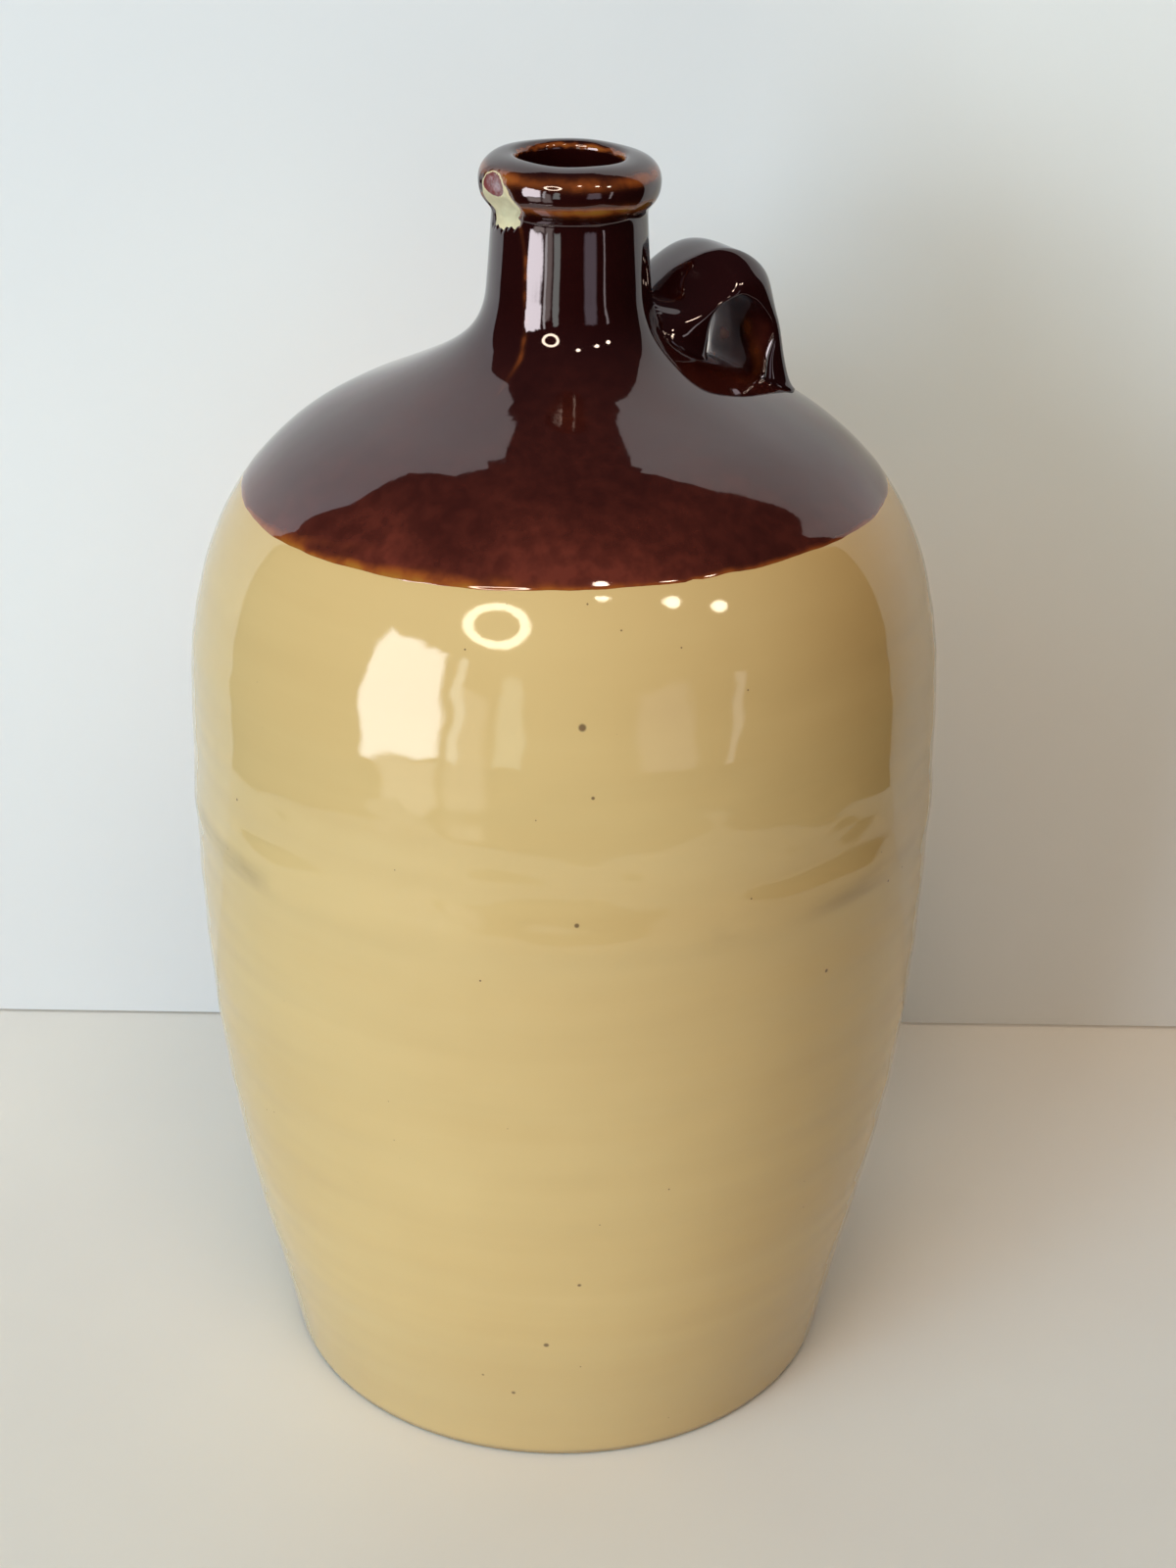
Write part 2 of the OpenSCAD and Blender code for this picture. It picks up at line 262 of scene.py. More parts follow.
@dataclass(frozen=True)
class Flagon:
    """The driving sizes of the part's source, and the outline that they give."""

    foot_r: float = 70.0
    belly_r: float = 90.0
    belly_z: float = 160.0
    shoulder_h: float = 99.8
    seam_z: float = 156.0
    wall_t: float = 6.4
    neck_r: float = 17.0
    neck_foot_r: float = 18.35
    neck_foot_z: float = 277.8
    neck_h: float = 19.0
    collar_r: float = 20.1
    collar_h: float = 11.0
    bore_r: float = 11.8
    mouth_round: float = 1.4
    coat_t: float = 0.5
    dip_z: float = 232.5
    foot_bare: float = 0.7
    swell_power: float = 2.42
    swell_root: float = 1.26
    fall_power: float = 3.2
    fall_root: float = 2.45
    flare_share: float = 0.916
    flare_foot_share: float = 0.89
    flare_neck_share: float = 0.5
    crown_share: float = 0.18
    wide_share: float = 0.5
    roll_power: float = 2.3
    wall_soft: float = 0.3
    groove_soft: float = 1.5
    groove_reach: float = 4.5
    lip_below: float = 0.6
    step: float = 0.1
    wall_points: int = 1400
    flare_points: int = 300
    roll_points: int = 120
    dip_low: float = 0.07
    dip_waves: Rows = ((0.51, 1, 296.0), (0.7, 2, 286.0))
    dip_ripples: Rows = ((0.09, 9, 40.0), (0.07, 23, 0.0))
    dip_shiver: Rows = ((0.05, 61, 10.0), (1.0, 7, 0.0))
    dip_nicks: Rows = ((0.45, 264.0, 0.8), (0.3, 270.0, 1.6))

    @property
    def collar_z(self) -> float:
        """Height of the groove under the collar."""
        return self.neck_foot_z + self.neck_h

    @property
    def crown_z(self) -> float:
        """Height of the clay's crown."""
        return self.collar_z + self.collar_h

    def wall(self, z: Array) -> Array:
        """Radius of the clay below the flare: a swelling power law, then a rounded fall.

        Args:
            z: Heights.

        Returns:
            The radius at each height.
        """
        low = np.clip(1 - z / self.belly_z, 0, 1) ** self.swell_power
        high = np.clip((z - self.belly_z) / self.shoulder_h, 0, 1) ** self.fall_power
        swell = self.foot_r + (self.belly_r - self.foot_r) * (1 - low) ** self.swell_root
        return np.where(z < self.belly_z, swell, self.belly_r * (1 - high) ** (1 / self.fall_root))

    def flare(self) -> Array:
        """The flare: a cubic curve from the shoulder's slope to the neck's.

        Returns:
            Radius and height of its points.
        """
        u, h = self.flare_share, self.shoulder_h
        z0 = self.belly_z + u * h
        rest = 1 - u**self.fall_power
        slope = -self.belly_r * self.fall_power / self.fall_root * u ** (self.fall_power - 1)
        slope *= rest ** (1 / self.fall_root - 1) / h
        a, d = np.array([float(self.wall(np.array(z0))), z0]), np.array([self.neck_foot_r, self.neck_foot_z])
        foot, neck = np.array([slope, 1.0]), np.array([self.neck_r - self.neck_foot_r, self.neck_h])
        b = a + self.flare_foot_share * (d[1] - z0) * foot / np.linalg.norm(foot)
        c = d - self.flare_neck_share * (d[1] - z0) * neck / np.linalg.norm(neck)
        t = np.linspace(0, 1, self.flare_points)[:, None]
        return (1 - t) ** 3 * a + 3 * (1 - t) ** 2 * t * b + 3 * (1 - t) * t**2 * c + t**3 * d

    def roll(self, centre: Pair, size: Pair, turn: Pair, power: float) -> Array:
        """A quarter roll: each axis is a cosine or sine raised to 2 over the power.

        Args:
            centre: Radius and height of its centre.
            size: Half widths across and up.
            turn: First and last direction.
            power: 2 gives an ellipse, more a squarer roll.

        Returns:
            Radius and height of its points without the first.
        """
        a = np.radians(np.linspace(*turn, self.roll_points))[1:]
        parts = (np.cos(a), np.sin(a))
        bent = [c + s * np.sign(p) * np.abs(p) ** (2 / power) for c, s, p in zip(centre, size, parts)]
        return np.stack(bent, axis=-1)

    def clay(self) -> Outline:
        """The clay's outside from the glaze line at the foot, over the collar and down the bore.

        Returns:
            The outline, softened most in the groove under the collar.
        """
        clay_bore = self.bore_r + self.coat_t
        crown_r = clay_bore + self.crown_share * (self.collar_r - clay_bore)
        wide_z = self.collar_z + self.wide_share * self.collar_h
        z = np.linspace(self.foot_bare, self.belly_z + self.flare_share * self.shoulder_h, self.wall_points)
        low, high = wide_z - self.collar_z, self.crown_z - wide_z
        edge_z = self.crown_z - self.mouth_round
        neck = [self.neck_foot_r, self.neck_foot_z], [self.neck_r, self.collar_z]
        bore = [clay_bore, edge_z], [clay_bore, self.neck_foot_z]
        parts = [
            np.stack([self.wall(z), z], axis=-1),
            self.flare()[1:],
            np.linspace(*neck, self.roll_points)[1:],
            self.roll((self.neck_r, wide_z), (self.collar_r - self.neck_r, low), (-90, 0), 2.0),
            self.roll((crown_r, wide_z), (self.collar_r - crown_r, high), (0, 90), self.roll_power),
            self.roll((crown_r, edge_z), (crown_r - clay_bore, self.mouth_round), (90, 180), 2.0),
            np.linspace(*bore, self.roll_points)[1:],
        ]
        rough = Outline(*np.concatenate(parts).T)
        even = rough.sampled(np.arange(0, rough.run[-1], self.step))
        line = np.stack([even.r, even.z], axis=-1)
        crisp = blurred(line, self.wall_soft / self.step)
        soft = blurred(line, self.groove_soft / self.step)
        near = bell(even.run, rough.run_at(self.collar_z), self.groove_reach)[:, None]
        return Outline(*(crisp + near * (soft - crisp)).T)

    def marks(self, clay: Outline, foot_z: float) -> dict[str, float]:
        """Lengths along the clay's outside at which its parts begin.

        Args:
            clay: The clay's outside.
            foot_z: Height of the lower end of the piece.

        Returns:
            The lengths of foot, neck, groove, lip and end.
        """
        lip_z = self.crown_z - self.lip_below
        heights = {"foot": foot_z, "neck": self.neck_foot_z, "groove": self.collar_z, "lip": lip_z}
        return {name: clay.run_at(z) for name, z in heights.items()} | {"end": clay.run[-1]}

    def dip_line(self, azimuth: Array) -> Array:
        """Height of the dark glaze's edge: two slow waves round the pot, as it was dipped by hand.

        Args:
            azimuth: Directions.

        Returns:
            The height at each, with small ripples and two nicks.
        """
        slow = sum(height * np.cos(np.radians(count * (azimuth - way))) for height, count, way in self.dip_waves)
        first, second = self.dip_shiver
        quick = sines(azimuth, self.dip_ripples) + sines(azimuth, (first,)) * sines(azimuth, (second,))
        nick = sum(height * bell(turn_from(azimuth, way), 0.0, half) for height, way, half in self.dip_nicks)
        return self.dip_z - self.dip_low + slow + quick + nick


@dataclass(frozen=True)
class Chip:
    """The chip in the collar: a leaning flat break that ends in a ragged step on the neck.

    Rows of the face are a height, the direction that the break faces there and its distance.
    """

    azimuth: float = 186.5
    low_z: float = 293.5
    below: float = 4.0
    half_turn: float = 50.0
    face: Rows = (
        (291.0, 188.0, 16.6), (293.5, 188.0, 16.8), (295.5, 187.5, 16.85), (298.0, 187.0, 17.7),
        (301.0, 185.5, 19.35), (304.0, 183.5, 19.75), (306.0, 183.0, 19.35), (308.0, 183.0, 18.2),
    )
    steepest: float = 60.0
    step_z: float = 294.0
    step_rise: float = 1.1
    step_slope: float = 0.05
    step_waves: Rows = ((0.28, 23, 0.0), (0.2, 57, 50.0))
    grain_t: float = 0.035
    grain_arc: float = 0.33
    grain_length: float = 1.6
    pit_azimuth: float = 183.0
    pit_z: float = 303.2
    pit_r: float = 19.0
    pit_half: Pair = (4.3, 2.9)
    pit_lobe: float = 0.08
    pit_t: float = 0.5

    def reaches(self, outside: Array, azimuth: Array, z: Array) -> Array:
        """Whether places are near enough for the break: outside, about its direction and above its foot."""
        near = np.abs(turn_from(azimuth, self.azimuth)) < self.half_turn
        return outside[:, None] & near & (z > self.low_z - self.below)

    def cut(self, azimuth: Array, z: Array) -> Array:
        """Radius of the break: a leaning plane's radius is its distance over the cosine.

        Args:
            azimuth: Directions.
            z: Heights.

        Returns:
            The radius at each place, with the ragged step, the clay's grain and the pit.
        """
        place, way, reach = np.array(self.face).T
        off = turn_from(azimuth, np.interp(z, place, way))
        ragged = sines(off, self.step_waves)
        step = np.clip(self.step_z + ragged + self.step_slope * off - z, 0, None) ** 2 * self.step_rise
        plane = np.interp(z, place, reach) + step
        grain = self.grain_t * ripple(azimuth * self.grain_arc, z, z * 0, self.grain_length, seed=5)
        lean = np.cos(np.radians(np.clip(off, -self.steepest, self.steepest)))
        return plane / lean + grain - self.pit_t * self.pit(azimuth, z)

    def pit(self, azimuth: Array, z: Array) -> Array:
        """How deep the glassy pit is: the root of 1 less the squares of an oval.

        Args:
            azimuth: Directions.
            z: Heights.

        Returns:
            1 in the middle of the pit, 0 outside it.
        """
        across = np.radians(turn_from(azimuth, self.pit_azimuth)) * self.pit_r / self.pit_half[0]
        up = (z - self.pit_z) / self.pit_half[1]
        lobes = self.pit_lobe * np.sin(3 * np.arctan2(up, across))
        return np.clip(1 - across**2 - up**2 - lobes, 0, 1) ** 0.5


@dataclass
class Piece:
    """A mesh that is ready to be made, with its name and what it stands for."""

    name: str
    slot: Slot
    material: bpy.types.Material
    stands_for: str

    def build(self, grid: Array, marks: dict[str, Array], closed_rows: bool = True) -> bpy.types.Object:
        """Makes the object from a grid of places.

        Args:
            grid: Places in millimetres, rows by columns by 3. Columns go round and join up.
            marks: Named values at each place, which the materials read.
            closed_rows: Whether the last row joins the first. If not, both ends get a cap.

        Returns:
            The finished object, riding on the body.
        """
        rows, columns = grid.shape[:2]
        index = np.arange(rows * columns).reshape(rows, columns)
        low = index if closed_rows else index[:-1]
        high = np.roll(index, -1, axis=0) if closed_rows else index[1:]
        quads = np.stack([low, np.roll(low, -1, 1), np.roll(high, -1, 1), high], axis=-1)
        faces = quads.reshape(-1, quads.shape[-1]).tolist()
        if not closed_rows:
            faces += [index[0][::-1].tolist(), index[-1].tolist()]
        mesh = bpy.data.meshes.new(self.name)
        mesh.from_pydata((grid.reshape(-1, 3) * MM).tolist(), [], faces)
        for name, values in marks.items():
            layer = mesh.attributes.new(name, "FLOAT", "POINT")
            layer.data.foreach_set("value", np.broadcast_to(values, (rows, columns)).astype(np.float32).ravel())
        mesh.shade_smooth()
        mesh.materials.append(self.material)
        made = bpy.data.objects.new(self.name, mesh)
        bpy.context.scene.collection.objects.link(made)
        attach(made, BODY)
        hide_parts(self.stands_for)
        log.info("%s: %d faces, stands for %s", self.name, len(faces), self.stands_for)
        return made


@dataclass
class CreamCoat:
    """The pale coat, with the throwing rings, the lute's ridge and the unevenness of the pot."""

    pot: Flagon
    under: float = 3.0
    columns: int = 452
    spacing: Spacing = (
        ("foot", 0, 0.35), ("foot", 4, 1.2), ("foot", 20, 1.8), ("foot", 140, 1.6), ("foot", 150, 1.1),
        ("foot", 165, 1.1), ("top", -40, 1.6), ("top", 0, 1.2),
    )
    back_spacing: Spacing = (("foot", 0, 4.0), ("top", 0, 6.0))
    lift_power: int = 8
    foot_ease: Pair = (-0.05, 1.1)
    foot_thin: Pair = (0.8, 0.7)
    sunk_t: float = 0.32
    sunk_ease: Pair = (0.2, 1.2)
    edge_ease: Pair = (0.2, 2.2)
    fade_in: Pair = (8.0, 30.0)
    fade_out: Pair = (205.0, 228.0)
    lean: Pair = (1.2, 1.9)
    ring_t: float = 0.11
    broad_ring: Pair = (19.0, 0.6)
    ring_drift: Pair = (17.0, 0.6)
    fine_ring: Pair = (8.3, 0.22)
    ridge_z: float = 156.6
    ridge_t: float = 0.3
    ridge_half: float = 6.0
    hollow_t: float = 0.22
    hollow_up: float = 19.0
    hollow_half: float = 10.0
    slow_wave: Pair = (0.10, 60.0)
    quick_wave: Pair = (0.025, 17.0)
    quick_squash: float = 2.2
    inset: float = 0.2

    def build(self, material: bpy.types.Material) -> bpy.types.Object:
        """Builds the coat: the clay's outline grown by the coat and by the pot's unevenness.

        Args:
            material: The pale glaze.

        Returns:
            The coat as a closed shell.
        """
        pot, clay = self.pot, self.pot.clay()
        top = clay.run_at(pot.dip_z + self.under)
        marks = {"foot": 0.0, "top": top}
        run = stations(marks, self.spacing)
        azimuth = np.linspace(0, 2 * HALF_TURN, self.columns, endpoint=False)[None, :]
        skin = clay.sampled(run)
        out_r, out_z = (part[:, None] for part in skin.outward)
        dip = pot.dip_line(azimuth)
        z = skin.z[:, None] + (run / top)[:, None] ** self.lift_power * (dip - pot.dip_z)
        r = clay.radius_at(z)
        gap = pot.coat_t * np.sqrt(smooth_step(run, *self.foot_ease))[:, None] + self.uneven(r, z, azimuth)
        gap = gap - self.foot_thin[0] * np.exp(-run / self.foot_thin[1])[:, None]
        gap = gap - self.sunk_t * smooth_step(z, dip - self.sunk_ease[0], dip + self.sunk_ease[1])
        outer = turned(r + gap * out_r, z + gap * out_z, azimuth)
        inner = clay.sampled(stations(marks, self.back_spacing)[::-1])
        inside = turned(inner.r[:, None] + 0 * azimuth, inner.z[:, None], azimuth)
        grid = np.concatenate([outer, inside])
        # The edge mark is 1 on the coat's lowest 2 mm, where the cream glaze paints a shadow line at the foot.
        low, high = (pot.foot_bare + up for up in self.edge_ease)
        piece = Piece("cream_coat", Slot.CREAM, material, "cream_glaze")
        return piece.build(grid, {"edge": 1 - smooth_step(grid[..., 2], low, high)})

    def uneven(self, r: Array, z: Array, azimuth: Array) -> Array:
        """How far the surface stands out: rings of the thrower's hand, the ridge and slow waves.

        Args:
            r: Radii.
            z: Heights.
            azimuth: Directions.

        Returns:
            The distance at each place, fading out at the foot and under the dip line.
        """
        a = np.radians(azimuth)
        fade = smooth_step(z, *self.fade_in) * (1 - smooth_step(z, *self.fade_out))
        high = 2 * math.pi * (z + self.lean[0] * np.cos(a - self.lean[1]))
        drift = self.ring_drift[1] * np.sin(z / self.ring_drift[0])
        broad = np.sin(high / self.broad_ring[0] + drift) * self.broad_ring[1]
        rings = broad + np.sin(high / self.fine_ring[0] + a) * self.fine_ring[1]
        ridge = self.ridge_t * bell(z, self.ridge_z, self.ridge_half)
        ridge = ridge - self.hollow_t * bell(z, self.ridge_z + self.hollow_up, self.hollow_half)
        x, y = r * np.cos(a), r * np.sin(a)
        slow = self.slow_wave[0] * ripple(x, y, z, self.slow_wave[1], seed=11)
        slow = slow + self.quick_wave[0] * ripple(x, y, z * self.quick_squash, self.quick_wave[1], seed=12)
        return fade * (self.ring_t * rings + ridge + slow) - self.inset * fade


@dataclass
class DarkCoat:
    """The dark coat from the dip line over shoulder, neck and collar into the mouth.

    Rows of the thin bands are a height, a half width and a level. Those of the streak are a height
    and a direction.
    """

    pot: Flagon
    chip: Chip
    lap: float = 1.0
    coarse: float = 1.45
    fine: float = 0.42
    fine_half: float = 27.0
    spacing: Spacing = (
        ("foot", 0, 0.3), ("foot", 3, 0.8), ("foot", 12, 1.5), ("neck", -25, 1.2), ("neck", 0, 0.9),
        ("groove", -5, 0.5), ("groove", -2, 0.3), ("lip", 5, 0.3), ("lip", 9, 1.2), ("end", 0, 3.0),
    )
    back_spacing: Spacing = (
        ("foot", 0, 3.0), ("groove", 0, 2.0), ("groove", 1, 0.8), ("lip", 4, 0.8), ("end", 0, 5.0),
    )
    follow_reach: float = 22.0
    edge_t: float = 0.2
    spare_t: float = 0.02
    edge_ease: float = 1.25
    wave_ease: Pair = (1.0, 9.0)
    bead: tuple[float, float, float] = (0.07, 3.2, 1.6)
    under_cut: float = 0.35
    inner_cut: float = 0.9
    lip_inset: float = 2.0
    lip_lean: float = 0.75
    lip_lean_azimuth: float = 275.0
    lip_wave: Pair = (0.06, 1.2)
    lip_lobes: Rows = ((1.0, 5, 20.0),)
    calm_r: Pair = (17.0, 40.0)
    slow_wave: tuple[float, float, float] = (0.03, 0.07, 45.0)
    quick_wave: Pair = (0.02, 14.0)
    sunk_t: float = 0.05
    red_patch: tuple[float, float, float, float] = (0.16, 40.0, 0.7, 16.0)
    red_fall: float = 11.0
    red_side: tuple[float, float, float, float] = (0.6, 0.45, 240.0, 26.0)
    red_low: float = 0.78
    red_neck: tuple[float, float, float] = (0.17, 254.0, 272.0)
    red_least: float = 0.03
    patch: Pair = (0.62, 0.38)
    slow_patch: Pair = (0.8, 0.2)
    patch_r: float = 30.0
    patch_squash: float = 2.0
    patch_lengths: Pair = (7.0, 40.0)
    dip_side: tuple[float, float, float, float] = (0.2, 0.8, 208.0, 27.0)
    dip_reach: Pair = (0.45, 2.1)
    dip_patch: Pair = (0.3, 1.4)
    dip_level: Pair = (0.5, 0.3)
    dip_power: float = 1.5
    thin_bands: Rows = ((305.2, 1.2, 0.6), (299.3, 0.8, 0.85), (299.1, 1.9, 0.32))
    band_patch: Pair = (0.3, 1.3)
    mouth_level: float = 0.8
    mouth_below: float = 0.8
    mouth_wave: Pair = (0.35, 0.6)
    mouth_half: Pair = (0.7, 0.42)
    streak: tuple[Pair, ...] = (
        (296, 203.0), (293.3, 205.8), (287.4, 211.4), (279.2, 211.9),
        (270.1, 214.6), (266, 216.0), (261.7, 214.1), (256, 213.0),
    )
    streak_level: float = 0.24
    streak_half: float = 0.75
    streak_foot: Pair = (257.0, 266.0)
    streak_top: Pair = (293.0, 297.0)
    streak_patch: Pair = (0.5, 1.2)
    beside_level: float = 0.7
    beside_fall: float = 0.45
    beside_turn: Pair = (203.0, 9.0)
    beside_z: Pair = (301.0, 5.5)

    def azimuths(self) -> Array:
        """Directions of the columns, closest about the chip."""
        return azimuths(self.coarse, self.fine, self.chip.azimuth, self.fine_half)[None, :]

    def build(self, material: bpy.types.Material) -> bpy.types.Object:
        """Builds the coat: thin at its lower edge, sunk under the break where the collar is chipped.

        Args:
            material: The dark glaze.

        Returns:
            The coat as a closed shell.
        """
        pot, clay, azimuth = self.pot, self.pot.clay(), self.azimuths()
        marks = pot.marks(clay, pot.dip_z)
        marks["foot"] -= self.lap
        foot, lip = marks["foot"], marks["lip"]
        run = stations(marks, self.spacing)
        skin, r0, z0 = self.followed(clay, run, foot, azimuth)
        out_r, out_z = (part[:, None] for part in skin.outward)
        full = smooth_step(run - foot, 0.0, self.edge_ease * self.lap)[:, None]
        gap = self.edge_t + (pot.coat_t + self.spare_t - self.edge_t) * full
        gap = gap + self.uneven(r0, z0, azimuth) * smooth_step(run - foot, *self.wave_ease)[:, None]
        height, place, half = self.bead
        gap = gap + height * bell(run - foot, place, half)[:, None]
        r, z = r0 + gap * out_r, z0 + gap * out_z
        cut = self.chip.cut(azimuth, z)
        r = np.where(self.chip.reaches(run < lip, azimuth, z), np.minimum(r, cut - self.under_cut), r)
        outer = turned(r, z - self.lip(skin.z, azimuth), azimuth)
        back = stations(marks, self.back_spacing)[::-1]
        inner, inner_r, inner_z = self.followed(clay, back, foot, azimuth)
        deep = self.chip.reaches(back < lip, azimuth, inner.z[:, None])
        inner_cut = self.chip.cut(azimuth, inner.z[:, None]) - self.inner_cut
        inner_r = np.where(deep, np.minimum(inner_r, inner_cut), inner_r)
        inside = turned(inner_r, inner_z - self.lip(inner.z, azimuth), azimuth)
        past = run - foot - self.lap
        values = {"thin": self.thin(past, skin, z0, r0, azimuth, cut), "red": self.red(past, z0, azimuth)}
        marked = {name: np.concatenate([value, 0 * inner_r]) for name, value in values.items()}
        piece = Piece("dark_coat", Slot.DARK, material, "dark_glaze")
        return piece.build(np.concatenate([outer, inside]), marked)

    def followed(self, clay: Outline, run: Array, foot: float, azimuth: Array) -> tuple[Outline, Array, Array]:
        """The clay's places, moved along it near the coat's foot so that the foot lies on the dip line.

        Args:
            clay: The clay's outside.
            run: Lengths along it.
            foot: Length at the coat's foot.
            azimuth: Directions.

        Returns:
            The clay at those lengths, then radius and height of each place.
        """
        skin = clay.sampled(run)
        follow = (1 - smooth_step(run, foot, foot + self.follow_reach))[:, None]
        z = skin.z[:, None] + follow * (self.pot.dip_line(azimuth) - self.pot.dip_z)
        return skin, np.where(follow > 0, clay.radius_at(z), skin.r[:, None]), z

    def red(self, run: Array, z: Array, azimuth: Array) -> Array:
        """How red the glaze is: most just above its lower edge, where it is thinner, and a little on the neck.

        Args:
            run: Lengths past the lower edge.
            z: Heights.
            azimuth: Directions.

        Returns:
            A share from 0 to 1 at each place.
        """
        height, radius, squash, length = self.red_patch
        patchy = 1 + height * patches(azimuth, z, radius, squash, length, seed=33)
        least, more, way, half = self.red_side
        low = np.exp(-np.clip(run, 0, None) / self.red_fall)[:, None]
        low = low * (least + more * bell(turn_from(azimuth, way), 0.0, half))
        level, *heights = self.red_neck
        neck = level * (1 - smooth_step(z, *heights))
        return np.clip((self.red_low * low + neck) * patchy + self.red_least, 0, 1)

    def lip(self, z: Array, azimuth: Array) -> Array:
        """How far the lip sags: it leans down to one side, more towards its crown.

        Args:
            z: Heights.
            azimuth: Directions.

        Returns:
            The drop at each place.
        """
        rise = smooth_step(z, self.pot.collar_z - self.lip_inset, self.pot.crown_z - self.lip_inset)[:, None]
        side = 0.5 + 0.5 * np.cos(np.radians(azimuth - self.lip_lean_azimuth))
        wave = self.lip_wave[0] * rise * (self.lip_wave[1] + sines(azimuth, self.lip_lobes))
        return self.lip_lean * rise * side + wave

    def uneven(self, r: Array, z: Array, azimuth: Array) -> Array:
        """Slow waves of the glaze, which are lower on the neck.

        Args:
            r: Radii.
            z: Heights.
            azimuth: Directions.

        Returns:
            How far each place stands out.
        """
        a = np.radians(azimuth)
        x, y = r * np.cos(a), r * np.sin(a)
        least, more, length = self.slow_wave
        slow = (least + more * smooth_step(r, *self.calm_r)) * ripple(x, y, z, length, seed=21)
        return slow + self.quick_wave[0] * ripple(x, y, z, self.quick_wave[1], seed=22) - self.sunk_t

    def thin(self, run: Array, skin: Outline, z: Array, r: Array, azimuth: Array, cut: Array) -> Array:
        """Where the glaze is thin and honey coloured: edges, the dip line and the streak by the chip.

        Args:
            run: Lengths past the lower edge.
            skin: The clay at those lengths.
            z: Heights.
            r: Radii.
            azimuth: Directions.
            cut: Radius of the break.

        Returns:
            A share from 0 to 1 at each place.
        """
        length, slow_length = self.patch_lengths
        patchy = self.patch[0] + self.patch[1] * patches(azimuth, z, self.patch_r, self.patch_squash, length, seed=31)
        slow = patches(azimuth, z, self.patch_r, 1.0, slow_length, seed=32)
        slow = self.slow_patch[0] + self.slow_patch[1] * slow
        least, more, way, half = self.dip_side
        side = least + more * bell(turn_from(azimuth, way), 0.0, half)
        reach = self.dip_reach[0] + self.dip_reach[1] * side * np.clip(patchy, *self.dip_patch)
        far = np.clip(run, 0, None)[:, None] / reach
        dip = np.exp(-(far**self.dip_power)) * (self.dip_level[0] + self.dip_level[1] * side)
        outside = (np.arange(len(run)) <= int(np.argmax(skin.z)))[:, None]
        bands = sum(level * bell(z, place, width) for place, width, level in self.thin_bands)
        bands = outside * bands * np.clip(slow, *self.band_patch)
        edge = self.pot.crown_z - self.mouth_below + self.mouth_wave[0] * (patchy - self.mouth_wave[1])
        mouth = bell(r, self.pot.bore_r + self.pot.coat_t, self.mouth_half[0]) * bell(z, edge, self.mouth_half[1])
        level = np.clip(dip + bands + self.mouth_level * (mouth * ~outside), 0, 1)
        streak = self.streak_level * self.streaked(z, r, azimuth) * np.clip(patchy, *self.streak_patch)
        beside = np.exp(-np.clip(cut - r, 0, None) / self.beside_fall)
        beside = beside * bell(turn_from(azimuth, self.beside_turn[0]), 0.0, self.beside_turn[1])
        beside = self.beside_level * (beside * bell(z, *self.beside_z))
        return np.clip(level + streak * outside + beside * outside, 0, 1)

    def streaked(self, z: Array, r: Array, azimuth: Array) -> Array:
        """Where the run of thin glaze below the chip is: a bell across its middle line.

        Args:
            z: Heights.
            r: Radii.
            azimuth: Directions.

        Returns:
            A share from 0 to 1 at each place.
        """
        place, way = np.array(self.streak)[::-1].T
        across = turn_from(azimuth, np.interp(z, place, way)) * r * math.pi / HALF_TURN
        ends = smooth_step(z, *self.streak_foot), 1 - smooth_step(z, *self.streak_top)
        return bell(across, 0.0, self.streak_half) * ends[0] * ends[1]


@dataclass
class UpperClay:
    """The thrown clay of the upper half, with the break in its collar."""

    pot: Flagon
    chip: Chip
    coat: DarkCoat
    above_seam: float = 0.7
    inset: float = 0.04
    bore_ease: float = 30.0
    spacing: Spacing = (
        ("foot", 0, 6.0), ("neck", 0, 3.0), ("groove", -6, 0.8), ("groove", -4, 0.34), ("lip", 0, 0.34),
        ("lip", 4, 2.0), ("end", 0, 4.0),
    )
    hollow_spacing: Spacing = (("foot", 0, 8.0), ("neck", 0, 3.0))

    def build(self, material: bpy.types.Material) -> bpy.types.Object:
        """Builds the clay: its outside with the break cut in, and the hollow inside.

        Args:
            material: The bare clay.

        Returns:
            The clay as a closed shell.
        """
        pot, clay, azimuth = self.pot, self.pot.clay(), self.coat.azimuths()
        marks = pot.marks(clay, pot.seam_z + self.above_seam)
        run = stations(marks, self.spacing)
        skin = clay.sampled(run).grown(-self.inset)
        r, z = skin.r[:, None] + 0 * azimuth, skin.z[:, None] + 0 * azimuth
        cut = self.chip.cut(azimuth, z)
        broken = self.chip.reaches(run < marks["lip"], azimuth, z)
        pit = self.chip.pit(azimuth, z) * (broken & (cut < r))
        r = np.where(broken, np.minimum(r, cut), r)
        outer = turned(r, z - self.coat.lip(skin.z, azimuth), azimuth)
        wall = stations(marks, self.hollow_spacing)
        ease = smooth_step(wall, marks["neck"] - self.bore_ease, marks["neck"])
        thick = pot.wall_t + (pot.neck_foot_r - pot.bore_r - pot.coat_t - pot.wall_t) * ease
        hollow = clay.sampled(wall).grown(-thick)
        hollow_r = hollow.r[::-1, None] + 0 * azimuth
        inside = turned(hollow_r, hollow.z[::-1, None], azimuth)
        piece = Piece("upper_clay", Slot.CLAY, material, "upper_body")
        return piece.build(np.concatenate([outer, inside]), {"pit": np.concatenate([pit, 0 * hollow_r])})


